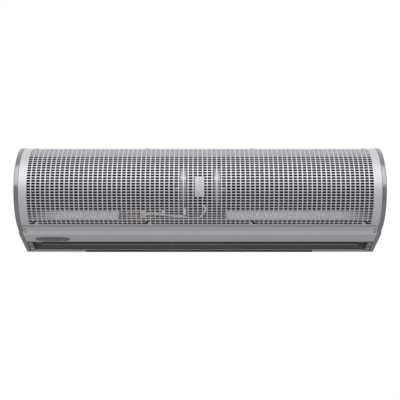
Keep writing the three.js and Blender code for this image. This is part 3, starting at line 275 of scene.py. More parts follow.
# Perforated front
# A sheet of steel punched with rows of short slots, rolled from the top round to the foot of the
# front and coated in satin silver. Screws hold it along both edges.
ARC_CENTRE = (-106, 25)
GRILLE_RADIUS = 105
GRILLE_SHEET = 0.7
GRILLE_END = 438.7
GRILLE_TOP_ANGLE = 90
TOP_RISE = 2
RISE_START_ANGLE = 50
GRILLE_FOOT_ANGLE = -54.75
COLUMNS = 73
COLUMN_PITCH = 11.5
ROWS = 33
ROW_PITCH = 6.93
LAST_ROW_ANGLE = -49.6
FOOT_START_ANGLE = -38
FOOT_STRETCH = 1.22
HOLE_SIZE = (9.3, 5.1)
HOLE_CORNER = 1.5
SCREW_PLACES = (-407.7, -130.95, 130.95, 407.7)
SCREW_ANGLES = (80, -48.19)
SCREW_ROOM = 0.6
PLATE_COLOUR = (0.71, 0.70, 0.74)
SHARP_ANGLE = 35


def arc_point(radius, elevation):
    """The y and z of points at that radius from the arc's centre and that elevation in degrees.

    Towards the top the arc rises a little over the circle, by a smooth step of the elevation.
    """
    turn = np.radians(elevation)
    past = np.asarray(elevation) - RISE_START_ANGLE
    climb = np.clip(past / (GRILLE_TOP_ANGLE - RISE_START_ANGLE), 0, 1)
    high = radius * np.sin(turn) + TOP_RISE * climb ** 2 * (3 - 2 * climb)
    return ARC_CENTRE[0] - radius * np.cos(turn), ARC_CENTRE[1] + high


def arc_line(radius, angles, count):
    """Points along the arc at that radius, from the first angle of elevation to the second."""
    return np.stack(arc_point(radius, np.linspace(*angles, count)), axis=1)


def points_at(x, y, z):
    """Points from arrays of their x, y and z, which are stretched to one shape."""
    return np.stack(np.broadcast_arrays(x, y, z), axis=-1).reshape(-1, 3)


def joined(points, groups):
    """Points at the same place made one, and quads that lose a side by it made triangles."""
    _, first, number = np.unique(np.round(points, 3), axis=0, return_index=True, return_inverse=True)
    groups = [number.reshape(-1)[group] for group in groups]
    quads = np.concatenate([group for group in groups if group.shape[1] == 4])
    same = quads == np.roll(quads, -1, axis=1)
    folded = same.sum(axis=1) == 1
    triangles = quads[folded][~same[folded]].reshape(-1, 3)
    others = [group for group in groups if group.shape[1] != 4]
    return points[first], [quads[~same.any(axis=1)], triangles, *others]


def swell(points, groups):
    """Six times the volume inside the faces, which is negative where they point inwards."""
    total = 0.0
    for group in groups:
        corners = points[group]
        fan = np.cross(corners[:, 1:-1], corners[:, 2:])
        total += (corners[:, :1] * fan).sum()
    return total


def outwards(surface):
    """A closed surface with its faces turned outwards."""
    points, groups = surface
    groups = [np.asarray(group) for group in groups if len(group)]
    if swell(points, groups) < 0:
        groups = [group[:, ::-1] for group in groups]
    return points, groups


def closed_wall(outer, inner, groups):
    """A sheet from the points of both its sides: faces on each, and a quad along each open edge."""
    sides = [np.stack([group, np.roll(group, -1, axis=1)], axis=2).reshape(-1, 2) for group in groups]
    edges = np.concatenate(sides)
    count = len(outer)
    met = np.isin(edges[:, 0] * count + edges[:, 1], edges[:, 1] * count + edges[:, 0])
    start, end = edges[~met].T
    rim = np.stack([end, start, start + count, end + count], axis=1)
    behind = [group[:, ::-1] + count for group in groups]
    return np.concatenate([outer, inner]), [*groups, *behind, rim]


def placed(name, data, body, nodes):
    """A piece in the scene, with its body and the nodes that it replaces."""
    piece = linked(name, data)
    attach(piece, body)
    if nodes:
        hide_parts(*nodes)


def add_piece(name, surface, slot, body="casing", nodes=(), finish=None):
    """A piece from its points in millimetres and its faces, with its finish, body and nodes."""
    points, groups = outwards(surface)
    mesh = bpy.data.meshes.new(name)
    faces = [face for group in groups for face in group.tolist()]
    mesh.from_pydata((points * MM).tolist(), [], faces, shade_flat=False)
    mesh.validate()
    mesh.set_sharp_from_angle(angle=math.radians(SHARP_ANGLE))
    mesh.materials.append(finishes[finish or slot])
    placed(name, mesh, body, nodes)


def satin_plate():
    """Satin silver coat: a fine grain along the sheet, and faint broad clouds."""
    coat = Finish("satin_plate")
    grain = coat.noise(0.5, stretch=(30, 1, 1), detail=3)
    cloud = coat.noise(60, stretch=(2, 1, 1))
    colour = coat.mix(grain * 0.5 + cloud * 0.5, *tones(PLATE_COLOUR, 0.93, 1.07))
    coat.surface(colour, grain * 0.08 + cloud * 0.06 + 0.44, 0.6, Normal=coat.bump(grain, 0.02))


satin_plate()


def way_down(elevation):
    """The distance down the flat sheet to an elevation on the arc, which its foot stretches over."""
    even = np.maximum(elevation, FOOT_START_ANGLE)
    foot = (even - elevation) / FOOT_STRETCH
    return np.radians(GRILLE_TOP_ANGLE - even + foot) * GRILLE_RADIUS


def elevation_at(v):
    """The elevation at a distance down the flat sheet: the way back from way_down."""
    even = GRILLE_TOP_ANGLE - np.degrees(v / GRILLE_RADIUS)
    past = even - FOOT_START_ANGLE
    return np.where(past < 0, FOOT_START_ANGLE + past * FOOT_STRETCH, even)


def wrapped(rows, columns, closed_rows=False, closed_columns=True):
    """Quads of a grid of points whose last row or column may meet its first."""
    row = np.arange(rows if closed_rows else rows - 1)
    column = np.arange(columns if closed_columns else columns - 1)
    row, column = (part.ravel() for part in np.meshgrid(row, column, indexing="ij"))
    below, beside = (row + 1) % rows, (column + 1) % columns
    return np.stack([row * columns + column, row * columns + beside, below * columns + beside,
                     below * columns + column], axis=1)


def grid_faces(xs, vs):
    """Points on every crossing of two sets of lines, and the quads between them."""
    points = np.stack(np.meshgrid(xs, vs), axis=2).reshape(-1, 2)
    return points, wrapped(len(vs), len(xs), closed_columns=False)


def punched_plate():
    """Faces of the flat sheet: x along it and v down its arc, both in millimetres.

    Each cell is a ring of twelve quads between the cell's edge and its rounded hole.
    """
    half_x, half_v = COLUMN_PITCH / 2, ROW_PITCH / 2
    hole_x, hole_v = HOLE_SIZE[0] / 2, HOLE_SIZE[1] / 2
    straight_x, straight_v = hole_x - HOLE_CORNER, hole_v - HOLE_CORNER
    bend = HOLE_CORNER * math.sqrt(0.5)
    side_v, side_x = half_v / 3, half_x / 2
    corner_hole = [(hole_x, straight_v), (straight_x + bend, straight_v + bend), (straight_x, hole_v)]
    corner_edge = [(half_x, side_v), (half_x, half_v), (side_x, half_v)]
    quarter = np.array([corner_edge, corner_hole])
    flipped = quarter[:, ::-1]
    turns = [quarter, flipped * (-1, 1), quarter * (-1, -1), flipped * (1, -1)]
    ring = np.concatenate(turns, axis=1)
    last_v = way_down(LAST_ROW_ANGLE)
    centre_x = (np.arange(COLUMNS) - (COLUMNS - 1) / 2) * COLUMN_PITCH
    centre_v = last_v - np.arange(ROWS)[::-1] * ROW_PITCH
    centres = np.stack(np.meshgrid(centre_x, centre_v), axis=2).reshape(-1, 2)
    screw_v = way_down(np.array(SCREW_ANGLES))
    screws = np.array([(x, v) for v in screw_v for x in SCREW_PLACES])
    near = np.abs(centres[:, None] - screws[None]) - np.array(HOLE_SIZE) / 2
    plain = (np.maximum(near, 0) ** 2).sum(axis=2).min(axis=1) < SCREW_ROOM ** 2
    places = (centres[:, None, None, :] + ring[None]).reshape(-1, 2)
    sides = ring.shape[1]
    edge = np.arange(len(centres))[:, None] * 2 * sides + np.arange(sides)
    hole = edge + sides
    quads = np.stack([edge, np.roll(edge, -1, axis=1), np.roll(hole, -1, axis=1), hole], axis=2)
    groups = [quads[~plain].reshape(-1, 4), edge[plain]]
    lines_x, lines_v = (
        np.append(np.unique(np.round(np.concatenate([middle - half, middle - side, middle + side]), 4)),
                  middle[-1] + half)
        for middle, half, side in ((centre_x, half_x, side_x), (centre_v, half_v, side_v))
    )
    foot_v = way_down(GRILLE_FOOT_ANGLE)
    outer_x = [np.array([-GRILLE_END, lines_x[0]]), np.array([lines_x[-1], GRILLE_END])]
    outer_v = [np.linspace(0, lines_v[0], 7), np.linspace(lines_v[-1], foot_v, 4)]
    all_v = np.concatenate([outer_v[0][:-1], lines_v, outer_v[1][1:]])
    for xs, vs in [*((lines_x, vs) for vs in outer_v), *((xs, all_v) for xs in outer_x)]:
        strip, faces = grid_faces(xs, vs)
        groups.append(faces + len(places))
        places = np.concatenate([places, strip])
    return places, groups


def rolled(flat, radius):
    """A flat sheet rolled round the arc at that radius: v runs down it from the top."""
    return points_at(flat[:, 0], *arc_point(radius, elevation_at(flat[:, 1])))


plate_points, plate_groups = joined(*punched_plate())
plate_sides = [rolled(plate_points, radius) for radius in (GRILLE_RADIUS, GRILLE_RADIUS - GRILLE_SHEET)]
add_piece("perforated_front", closed_wall(*plate_sides, plate_groups), "satin_plate",
          nodes=["front_grille"])

# Grille screws
# Pan head screws with a cross recess. Four of bright zinc hold the top edge of the grille to the
# shell, and four hold its foot to the fascia. The foot screws get a dark steel as painted shade,
# since they face down.
HEAD_RADIUS = 4
HEAD_RIM = 0.9
HEAD_HEIGHT = 2.2
SHANK_RADIUS = 2
SHANK_LENGTH = 5.4
SHANK_POINT = 1
RECESS_REACH = 2.3
RECESS_WIDTH = 0.95
RECESS_DEPTH = 1.3
RECESS_SLOPES = (0.15, 0.4)
SCREW_TURN_ANGLES = (20, 65, 40, 5)


def mottled(name, size, tints, roughness, metallic=0.0, stretch=(1, 1, 1), detail=3, relief=0,
            skin=None):
    """A finish whose colour and roughness follow one noise with grains of that size.

    Its colour goes from the first tint to the second. Its roughness is the first number, and grows
    with the noise by up to the second. The relief follows the same noise, or another one whose
    grains have the size given as skin.
    """
    coat = Finish(name)
    grain = coat.noise(size, stretch, detail)
    height = coat.noise(skin, detail=1) if skin else grain
    others = {"Normal": coat.bump(height, relief)} if relief else {}
    colour = coat.mix(grain, *tints)
    coat.surface(colour, grain * roughness[1] + roughness[0], metallic, **others)


mottled("bright_steel", 2.5, ((0.62, 0.61, 0.60), (0.80, 0.80, 0.79)), (0.16, 0.15), 1.0)
# Dark steel: painted shade on the foot screws, which face down. The fascia rivets use it too.
mottled("dark_steel_and_shade", 2.0, ((0.05, 0.05, 0.055), (0.14, 0.135, 0.14)), (0.3, 0.2), 0.8)


def pan_screw(turn):
    """A screw about z with its seat at z = 0.

    Rings of points follow the profile round the axis. On the head they sink into a cross: the
    depth falls off at the edge of each arm and at the arms' ends.
    """
    crown = np.linspace(0, 1, 11)
    crown_radius = HEAD_RADIUS * (1 - crown)
    crown_height = HEAD_RIM + (HEAD_HEIGHT - HEAD_RIM) * np.sqrt(1 - (1 - crown) ** 2)
    stem = [(0, -SHANK_LENGTH), (SHANK_RADIUS - SHANK_POINT, -SHANK_LENGTH),
            (SHANK_RADIUS, SHANK_POINT - SHANK_LENGTH), (SHANK_RADIUS, 0), (HEAD_RADIUS, 0)]
    profile = np.concatenate([stem, np.stack([crown_radius, crown_height], axis=1)])
    radius, height = profile.T[:, :, None]
    angle = np.linspace(0, 2 * np.pi, 48, endpoint=False)
    u, v = radius * np.cos(angle), radius * np.sin(angle)
    off_arm = np.minimum(abs(u), abs(v)) - RECESS_WIDTH / 2
    arm, reach = (np.clip(0.5 - past / slope, 0, 1)
                  for past, slope in zip((off_arm, radius - RECESS_REACH), RECESS_SLOPES))
    on_head = (np.arange(len(profile)) >= len(stem))[:, None]
    level = height - RECESS_DEPTH * arm * reach * on_head
    cos, sin = math.cos(math.radians(turn)), math.sin(math.radians(turn))
    return joined(points_at(u * cos - v * sin, u * sin + v * cos, level), [wrapped(*u.shape)])


def facing(surface, place, angle):
    """A surface about z turned to look along an angle from +y to +z, and moved to a place."""
    points, groups = surface
    cos, sin = math.cos(math.radians(angle)), math.sin(math.radians(angle))
    return points @ np.array([(-1, 0, 0), (0, -sin, cos), (0, cos, sin)]) + np.array(place), groups


for edge, elevation, finish in zip(("top", "foot"), SCREW_ANGLES, ("bright_steel", "dark_steel_and_shade")):
    for index, x in enumerate(SCREW_PLACES):
        place = (x, *arc_point(GRILLE_RADIUS, elevation))
        screw = facing(pan_screw(SCREW_TURN_ANGLES[index]), place, 180 - elevation)
        add_piece(f"{edge}_edge_screw_{index + 1}", screw, "bright_steel",
                  nodes=[f"{edge}_grille_screw_{index + 1}"], finish=finish)

# End caps
# Moulded caps that close both ends, with a rounded outer edge and a broad rim that hides the ends
# of the sheets. Their semi-gloss coat mirrors the soft box as one sharp band.
CASING_HALF = 450
CASING_RADIUS = 106
CASING_TOP = 133
CASING_FLOOR = -132.4
FRONT_FOOT_ANGLE = -54.48
CORNERS = ((-146.99, -74.34), (-142.46, -84.04), (-99.6, -104.03), (-47, -128.4), (-38, -132.4))
CAP_THICKNESS = 11
CAP_WALL = 3
CAP_RIM = 9
CAP_EDGE = 2.5
RIM_EDGE = 0.4
CORNER_EASE = 1.6
CAP_COLOUR = (0.345, 0.34, 0.355)

mottled("cap_grey", 40, tones(CAP_COLOUR, 0.94, 1.06), (0.2, 0.05), 0.75, detail=2, relief=0.012,
        skin=1.2)


def eased(points, reaches, steps=4):
    """Corners rounded by a curve that leaves each edge at that reach from the corner."""
    s = np.linspace(0, 1, steps + 1)[:, None]
    reaches = np.broadcast_to(np.asarray(reaches, float), len(points))
    way_back = np.roll(points, 1, axis=0) - points
    way_on = np.roll(points, -1, axis=0) - points
    way_back, way_on = (way / np.linalg.norm(way, axis=1)[:, None] for way in (way_back, way_on))
    curve = way_back[:, None] * (1 - s) ** 2 + way_on[:, None] * s ** 2
    keep = np.ones((len(points), steps + 1), bool)
    keep[reaches == 0, 1:] = False
    return (points[:, None] + reaches[:, None, None] * curve)[keep]


def casing_outline():
    """The casing seen from the end, from the wall over the top, round the front and back."""
    arc = arc_line(CASING_RADIUS, (GRILLE_TOP_ANGLE, FRONT_FOOT_ANGLE), 65)
    outline = np.concatenate([[(0, CASING_TOP)], arc, CORNERS, [(0, CASING_FLOOR)]])
    reaches = np.zeros(len(outline))
    reaches[len(arc) + 1:-1] = CORNER_EASE
    return eased(outline, reaches)


def mitred(before, after, distance):
    """Steps to the left at corners, by which edges with these directions all move that distance."""
    both = before + after
    reach = distance / (1 + (before * after).sum(axis=1))
    return reach[:, None] * np.stack([-both[:, 1], both[:, 0]], axis=1)


def moved_in(outline, distance):
    """A closed outline moved to its inside."""
    ahead = np.roll(outline, -1, axis=0) - outline
    ahead /= np.linalg.norm(ahead, axis=1)[:, None]
    return outline + mitred(np.roll(ahead, 1, axis=0), ahead, distance)


def lofted(loops, stations):
    """A surface through closed loops of (y, z) points at stations along x, or one loop at them all."""
    y, z = np.moveaxis(np.asarray(loops, float), -1, 0)
    points = points_at(np.asarray(stations, float)[:, None], y, z)
    rows, count = len(stations), y.shape[-1]
    first = np.arange(count)[None]
    return points, [wrapped(rows, count), first[:, ::-1], first + (rows - 1) * count]


def end_cap(side):
    """Loops from the floor of the pocket over the rim to the outer face, moved in along x."""
    outline = casing_outline()
    floor, inner, start = (CASING_HALF - part for part in (CAP_WALL, CAP_THICKNESS, CAP_EDGE))
    turn = np.linspace(0, np.pi / 2, 7)
    insets = [CAP_RIM, CAP_RIM, CAP_RIM - RIM_EDGE, RIM_EDGE, 0, *(CAP_EDGE * (1 - np.cos(turn)))]
    places = [floor, inner + RIM_EDGE, inner, inner, inner + RIM_EDGE, *(start + CAP_EDGE * np.sin(turn))]
    return lofted([moved_in(outline, inset) for inset in insets], side * np.array(places))


SIDES = {"left": -1, "right": 1}


def add_pair(label, make, slot, node, body="casing"):
    """A piece at the left and at the right, each made for its side: -1 or 1."""
    for name, side in SIDES.items():
        add_piece(f"{name}_{label}", make(side), slot, body=body, nodes=[f"{name}_{node}"])


add_pair("cap_shell", end_cap, "cap_grey", "end_cap")

# Fascia
# An extruded profile under the grille, cut to length and anodised to a satin silver. Its flange is
# behind the foot of the grille, and its three bands step back to the edge of the outlet.
FASCIA_SHEET = 2
FASCIA_COLOUR = (0.67, 0.66, 0.69)
FASCIA_FLANGE_RADIUS = 101.6
FASCIA_FLANGE_ANGLES = (-42.7, -55.9)
FASCIA_BENDS = ((-163.13, -61.73), (-145.42, -72.97), (-141.5, -83.4), (-98.76, -102.21),
                (-95.38, -94.96))


def satin_extrusion(name, tint):
    """Anodised aluminium: fine drawn lines along x over a slight unevenness."""
    coat = Finish(name)
    lines = coat.noise(0.35, stretch=(400, 1, 1), detail=3)
    cloud = coat.noise(70, stretch=(3, 1, 1))
    colour = coat.mix(lines * 0.6 + cloud * 0.4, *tones(tint, 0.92, 1.08))
    coat.surface(colour, lines * 0.1 + cloud * 0.05 + 0.38, 0.4, Normal=coat.bump(lines, 0.01))


satin_extrusion("satin_extrusion", FASCIA_COLOUR)


def walled(line, thickness):
    """The outline of a sheet, from the line along the middle of its wall."""
    ahead = np.diff(line, axis=0)
    ahead /= np.linalg.norm(ahead, axis=1)[:, None]
    before, after = np.concatenate([ahead[:1], ahead]), np.concatenate([ahead, ahead[-1:]])
    step = mitred(before, after, thickness / 2)
    return np.concatenate([line + step, (line - step)[::-1]])


def bent_sheet(line, thickness, ends, ease):
    """A sheet bent along a line of (y, z) points, with eased bends, carried along x."""
    line = np.asarray(line, float)
    reaches = np.full(len(line), float(ease))
    reaches[[0, -1]] = 0
    return lofted(walled(eased(line, reaches), thickness), ends)


fascia_line = np.concatenate([arc_line(FASCIA_FLANGE_RADIUS, FASCIA_FLANGE_ANGLES, 9), FASCIA_BENDS])
add_piece("stepped_fascia", bent_sheet(fascia_line, FASCIA_SHEET, (-GRILLE_END, GRILLE_END), ease=0.6),
          "satin_extrusion", nodes=["front_fascia"])

# Foot shade strip
# A thin black strip on the fascia's flange behind the foot of the grille, which also fills the
# groove under it. It is painted shade, which darkens the last two rows of holes and the groove.
STRIP_END = 436
STRIP_SHEET = 0.9
STRIP_RADIUS = 103.1
STRIP_ANGLES = (-44.3, -54.0)
STRIP_GROOVE = ((-164.75, -60.3), (-164.7, -62.0))
RUBBER_TONES = ((0.012, 0.012, 0.013), (0.028, 0.027, 0.029))

mottled("rubber", 5, RUBBER_TONES, (0.65, 0.15), detail=4, relief=0.05)
strip_line = np.concatenate([arc_line(STRIP_RADIUS, STRIP_ANGLES, 9), STRIP_GROOVE])
add_piece("foot_shade_strip", lofted(walled(strip_line, STRIP_SHEET), (-STRIP_END, STRIP_END)), "rubber")

# Fascia rivets
# Four small dark rivets hold the ends of the fascia, one at each end of its upper two bands. They
# are blind rivets with a low domed head.
RIVET_X = 432.5
RIVET_PLACES = ((-153.4, -68.9, -122.4), (-145.0, -76.9, -159.4))
RIVET_PROFILE = ((0, -2), (1.0, -2), (1.0, 0), (2.0, 0), (1.9, 0.4), (1.4, 0.75), (0.7, 0.95), (0, 1.0))


def turned(profile, steps=64):
    """A surface of revolution about z through (radius, height) points.

    A profile that starts on the axis ends there too, and any other is closed on itself.
    """
    radius, height = np.array(profile, float).T[:, :, None]
    angle = np.linspace(0, 2 * np.pi, steps, endpoint=False)
    points = points_at(radius * np.cos(angle), radius * np.sin(angle), height)
    return joined(points, [wrapped(len(height), steps, closed_rows=radius[0, 0] > 0)])


rivet = turned(RIVET_PROFILE, 20)
for name, side in SIDES.items():
    for index, (y, z, angle) in enumerate(RIVET_PLACES):
        add_piece(f"{name}_fascia_rivet_{index + 1}", facing(rivet, (side * RIVET_X, y, z), angle),
                  "bright_steel", finish="dark_steel_and_shade")

# Rear lip
# A narrow strip of the same aluminium along the far edge of the outlet, in a darker copy of its
# finish as painted shade. It lies on the casing floor, and a round black rubber cord on the middle
# of its edge is painted shade for the dark line there.
LIP_END = 438.5
LIP_SHEET = 1.5
LIP_LINE = ((-13, -127.45), (-36.4, -127.45), (-38.4, -131.2), (-45.0, -131.2), (-45.8, -124.9))
LIP_SHADE_COLOUR = (0.48, 0.475, 0.50)
SHADE_CORD_ENDS = (-295, 290)
SHADE_CORD_CENTRE = (-45.2, -129.8)
SHADE_CORD_RADIUS = 2.4

# A darker copy of the fascia's finish: painted shade on the lip.
satin_extrusion("lip_extrusion_shaded", LIP_SHADE_COLOUR)
add_piece("outlet_rear_strip", bent_sheet(LIP_LINE, LIP_SHEET, (-LIP_END, LIP_END), ease=1.0),
          "satin_extrusion", nodes=["rear_lip"], finish="lip_extrusion_shaded")
# A round black cord along the middle of the lip: painted shade for the dark line there.
shade_cord_turn = np.linspace(0, 2 * np.pi, 20, endpoint=False)
shade_cord_round = SHADE_CORD_RADIUS * np.stack([np.cos(shade_cord_turn), np.sin(shade_cord_turn)], axis=1)
add_piece("outlet_shade_cord", lofted(SHADE_CORD_CENTRE + shade_cord_round, SHADE_CORD_ENDS), "rubber")

# Side plates
# Zinc-coated steel plates close the ends behind the caps, with a hole for the bearing. A corner
# plate is bent from the same steel at each end of the outlet, with two screws.
AXIS = (-106, 30)
SIDE_ENDS = (437.2, 438.7)
SIDE_INSET = 6.5
SIDE_HOLE_RADIUS = 20.1
OUTLET_ANGLE = -24.5
OUTLET_FRONT = (-99.6, -104.03)
CORNER_ALONG = (3.6, 57.2)
CORNER_LINE = ((425.5, 1.75), (437.95, 1.75), (437.95, 9.5))
CORNER_SHEET = 1.5
CORNER_BEND = 2
CORNER_INSET = 1
CORNER_SCREW_X = 432.7
CORNER_SCREW_ALONG = {"front": 12.6, "rear": 45.2}
CORNER_STEEL_COLOUR = (0.30, 0.275, 0.265)


def dull_steel(name, colour, roughness=0.38):
    """Zinc coat gone dull: small crystals that differ a little, under cloudy stains."""
    coat = Finish(name)
    crystal = coat.cells(3.5)
    stain = coat.noise(14, detail=4)
    mixed = coat.mix(crystal * 0.5 + stain * 0.5, *tones(colour, 0.84, 1.14))
    coat.surface(mixed, crystal * 0.1 + stain * 0.16 + (roughness - 0.12), 0.8)


dull_steel("corner_steel", CORNER_STEEL_COLOUR)


def outlet_place(along, inset, start=OUTLET_FRONT):
    """The y and z of a place so far along the outlet's slope from a start, and so far in from it."""
    cos, sin = math.cos(math.radians(OUTLET_ANGLE)), math.sin(math.radians(OUTLET_ANGLE))
    return start[0] + along * cos - inset * sin, start[1] + along * sin + inset * cos


def merged(surfaces):
    """Several surfaces as one, with their faces renumbered."""
    points, groups, start = [], [], 0
    for surface_points, surface_groups in surfaces:
        points.append(surface_points)
        groups += [group + start for group in surface_groups if len(group)]
        start += len(surface_points)
    return np.concatenate(points), groups


def side_sheet(side):
    """A ring between the bearing's hole and the casing's outline, moved in, with the same turns."""
    outline = moved_in(casing_outline(), SIDE_INSET)
    reach = outline - AXIS
    hole = AXIS + SIDE_HOLE_RADIUS * reach / np.linalg.norm(reach, axis=1)[:, None]
    inner, outer = SIDE_ENDS
    points, _ = lofted([hole, outline, outline, hole], side * np.array([inner, inner, outer, outer]))
    return points, [wrapped(4, len(outline), closed_rows=True)]


def corner_sheet(side):
    """A sheet bent along a line of x and inset, carried across the outlet."""
    loop = walled(eased(np.array(CORNER_LINE), (0, CORNER_BEND, 0)), CORNER_SHEET)
    y, z = outlet_place(np.array(CORNER_ALONG)[:, None], loop[:, 1])
    points = points_at(side * loop[:, 0], y, z)
    first = np.arange(len(loop))[None]
    return points, [wrapped(2, len(loop)), first[:, ::-1], first + len(loop)]


for name, side in SIDES.items():
    plates = [outwards(side_sheet(side)), outwards(corner_sheet(side))]
    add_piece(f"{name}_end_plate", merged(plates), "corner_steel", nodes=[f"{name}_side_plate"])
    for (edge, along), turn in zip(CORNER_SCREW_ALONG.items(), SCREW_TURN_ANGLES[1:]):
        place = (side * CORNER_SCREW_X, *outlet_place(along, CORNER_INSET))
        screw = facing(pan_screw(turn), place, OUTLET_ANGLE - 90)
        add_piece(f"{name}_{edge}_corner_screw", screw, "bright_steel",
                  nodes=[f"{name}_corner_screw_{edge}"])

# Badge
# A small oval plate of dark satin metal on the lowest band, left bare. It has a raised rim and a
# slightly domed field.
BADGE_CENTRE = (-370.5, -116.2, -95.68)
BADGE_HALF = (43, 13)
BADGE_FULLNESS = 0.8
BADGE_PROFILE = ((0, 0), (0.98, 0), (1, 0.1), (1, 0.7), (0.99, 0.9), (0.96, 0.95), (0.94, 0.7),
                 (0.6, 0.82), (0.3, 0.9), (0, 0.93))
BADGE_HEIGHT = 1.1
BADGE_COLOUR = (0.2, 0.17, 0.18)
BAND_ANGLE = -23.75

mottled("badge_grey", 0.25, tones(BADGE_COLOUR, 0.8, 1.25), (0.25, 0.15), 0.6, stretch=(60, 1, 1))


def oval_badge():
    """Rings of a full oval from its underside over the rim to the middle of the field.

    The profile gives each ring's share of the oval's size and of its height. A full oval is an
    ellipse whose cosine and sine are raised to a power below one.
    """
    share, height = np.array(BADGE_PROFILE).T[:, :, None]
    angle = np.linspace(0, 2 * np.pi, 64, endpoint=False)
    across, rise = (np.sign(part) * np.abs(part) ** BADGE_FULLNESS
                    for part in (np.cos(angle), np.sin(angle)))
    x, y = share * BADGE_HALF[0] * across, share * BADGE_HALF[1] * rise
    return joined(points_at(x, y, height * BADGE_HEIGHT), [wrapped(*x.shape)])


add_piece("bare_badge", facing(oval_badge(), BADGE_CENTRE, BAND_ANGLE - 90), "badge_grey",
          nodes=["badge_plate"])

# Rear shell
# One zinc-coated sheet makes the top, the back and the floor of the casing. Two slots in its back
# take the hooks, and a hole in its top takes the grommet.
SHELL_SHEET = 1.5
SHELL_LINE_TOP = 131.25
SHELL_LINE_FLOOR = -129.25
SHELL_BACK = -3.05
SHELL_BEND = 3
SHELL_FLANGE_RADIUS = 102.25
SHELL_FLANGE_TOP_ANGLES = (56, 89)
SHELL_JOGGLE = -102
SHELL_FLOOR_END = -37
HOOK_PLACES = (-250, 250)
HOOK_SLOT_HALF = 17
HOOK_SLOT_Z = (68, 82.3)
GROMMET_PLACE = (380, -40)
INLET_HALF = 7.4
OPENING_REACH = 10
GALVANISED_COLOUR = (0.56, 0.565, 0.57)

dull_steel("galvanised", GALVANISED_COLOUR, 0.42)


def open_sheet(line, thickness, xs, openings):
    """A sheet along a line and between places along x, with walls round its openings.

    An opening is a box of x, y and z: the least and the greatest of each.
    """
    flat_points, faces = grid_faces(np.array(xs, float), np.arange(len(line), dtype=float))
    row = flat_points[:, 1].astype(int)
    middle = np.column_stack([flat_points[:, 0], line[row]])[faces].mean(axis=1)
    kept = np.ones(len(faces), bool)
    for low, high in openings:
        kept &= ~((middle > low) & (middle < high)).all(axis=1)
    both = walled(line, thickness)
    outer, inner = both[:len(line)], both[len(line):][::-1]
    sides = [np.column_stack([flat_points[:, 0], side[row]]) for side in (outer, inner)]
    return closed_wall(*sides, [faces[kept]])


inlet_x, inlet_y = ((middle - INLET_HALF, middle + INLET_HALF) for middle in GROMMET_PLACE)
shell_line = np.concatenate([
    arc_line(SHELL_FLANGE_RADIUS, SHELL_FLANGE_TOP_ANGLES, 13),
    [(y, SHELL_LINE_TOP) for y in (SHELL_JOGGLE, *inlet_y, SHELL_BACK)],
    [(SHELL_BACK, z) for z in (*HOOK_SLOT_Z[::-1], SHELL_LINE_FLOOR)],
    [(SHELL_FLOOR_END, SHELL_LINE_FLOOR)],
])
shell_reach = np.zeros(len(shell_line))
shell_reach[[-5, -2]] = SHELL_BEND
hook_xs = [(x - HOOK_SLOT_HALF, x + HOOK_SLOT_HALF) for x in HOOK_PLACES]
shell_xs = sorted([-GRILLE_END, GRILLE_END, *inlet_x, *hook_xs[0], *hook_xs[1]])
shell_openings = [((start, -OPENING_REACH, HOOK_SLOT_Z[0]), (end, 0, HOOK_SLOT_Z[1]))
                  for start, end in hook_xs]
shell_openings.append(((inlet_x[0], inlet_y[0], SHELL_LINE_TOP - OPENING_REACH),
                       (inlet_x[1], inlet_y[1], SHELL_LINE_TOP + OPENING_REACH)))
shell_surface = open_sheet(eased(shell_line, shell_reach), SHELL_SHEET, shell_xs, shell_openings)
add_piece("shell_sheet", shell_surface, "galvanised", nodes=["rear_shell"])

# Cable grommet
# A moulded rubber ring with two rounded flanges, pressed into the hole in the top. The supply
# cable comes in through it.
GROMMET_PROFILE = ((5, -2.6), (6, -3.05), (10.2, -3.05), (11, -2.4), (11, -1.05), (7, -1.05), (7, 1.05),
                   (11, 1.05), (11, 2.4), (10.2, 3.05), (6, 3.05), (5, 2.6))


def along_x(surface, y, z, side=1):
    """A surface about z laid along x through (y, z), with its heights as distances to one side."""
    points, groups = surface
    return points_at(side * points[:, 2], points[:, 0] + y, points[:, 1] + z), groups


grommet_points, grommet_groups = turned(GROMMET_PROFILE)
add_piece("inlet_grommet", (grommet_points + (*GROMMET_PLACE, SHELL_LINE_TOP), grommet_groups), "rubber",
          nodes=["cable_grommet"])

# Air passage
# Two zinc-coated sheets lead the air round the wheels and down to the outlet: the scroll behind
# them, which opens as a spiral, and the tongue in front of them.
GUIDE_END = 436.9
GUIDE_SHEET = 1.2
SPIRAL_RADII = (66, 94)
SPIRAL_ANGLES = (62, -15)
SCROLL_BEND = (-18.5, -60)
SCROLL_FOOT = (-45.01, -123.63)
SCROLL_FLANGE = ((-4.7, 124), (-4.7, 112))
SCROLL_NOSE_RADIUS = 4
# These colours are painted shade and light: dark round the wheels, lighter down in the outlet.
TONGUE = ((-147, -24), (-138, -58), (-97.1, -94.16))
INNER_SHADE_COLOUR = (0.17, 0.168, 0.175)
OUTLET_LIT_COLOUR = (0.5, 0.49, 0.52)
SHADE_HEIGHTS = (-92, -66)


def bezier(first, middle, last, steps):
    """Points on the curve that leaves first and reaches last along lines through middle."""
    s = np.linspace(0, 1, steps + 1)[:, None]
    return (1 - s) ** 2 * np.array(first) + 2 * s * (1 - s) * np.array(middle) + s ** 2 * np.array(last)


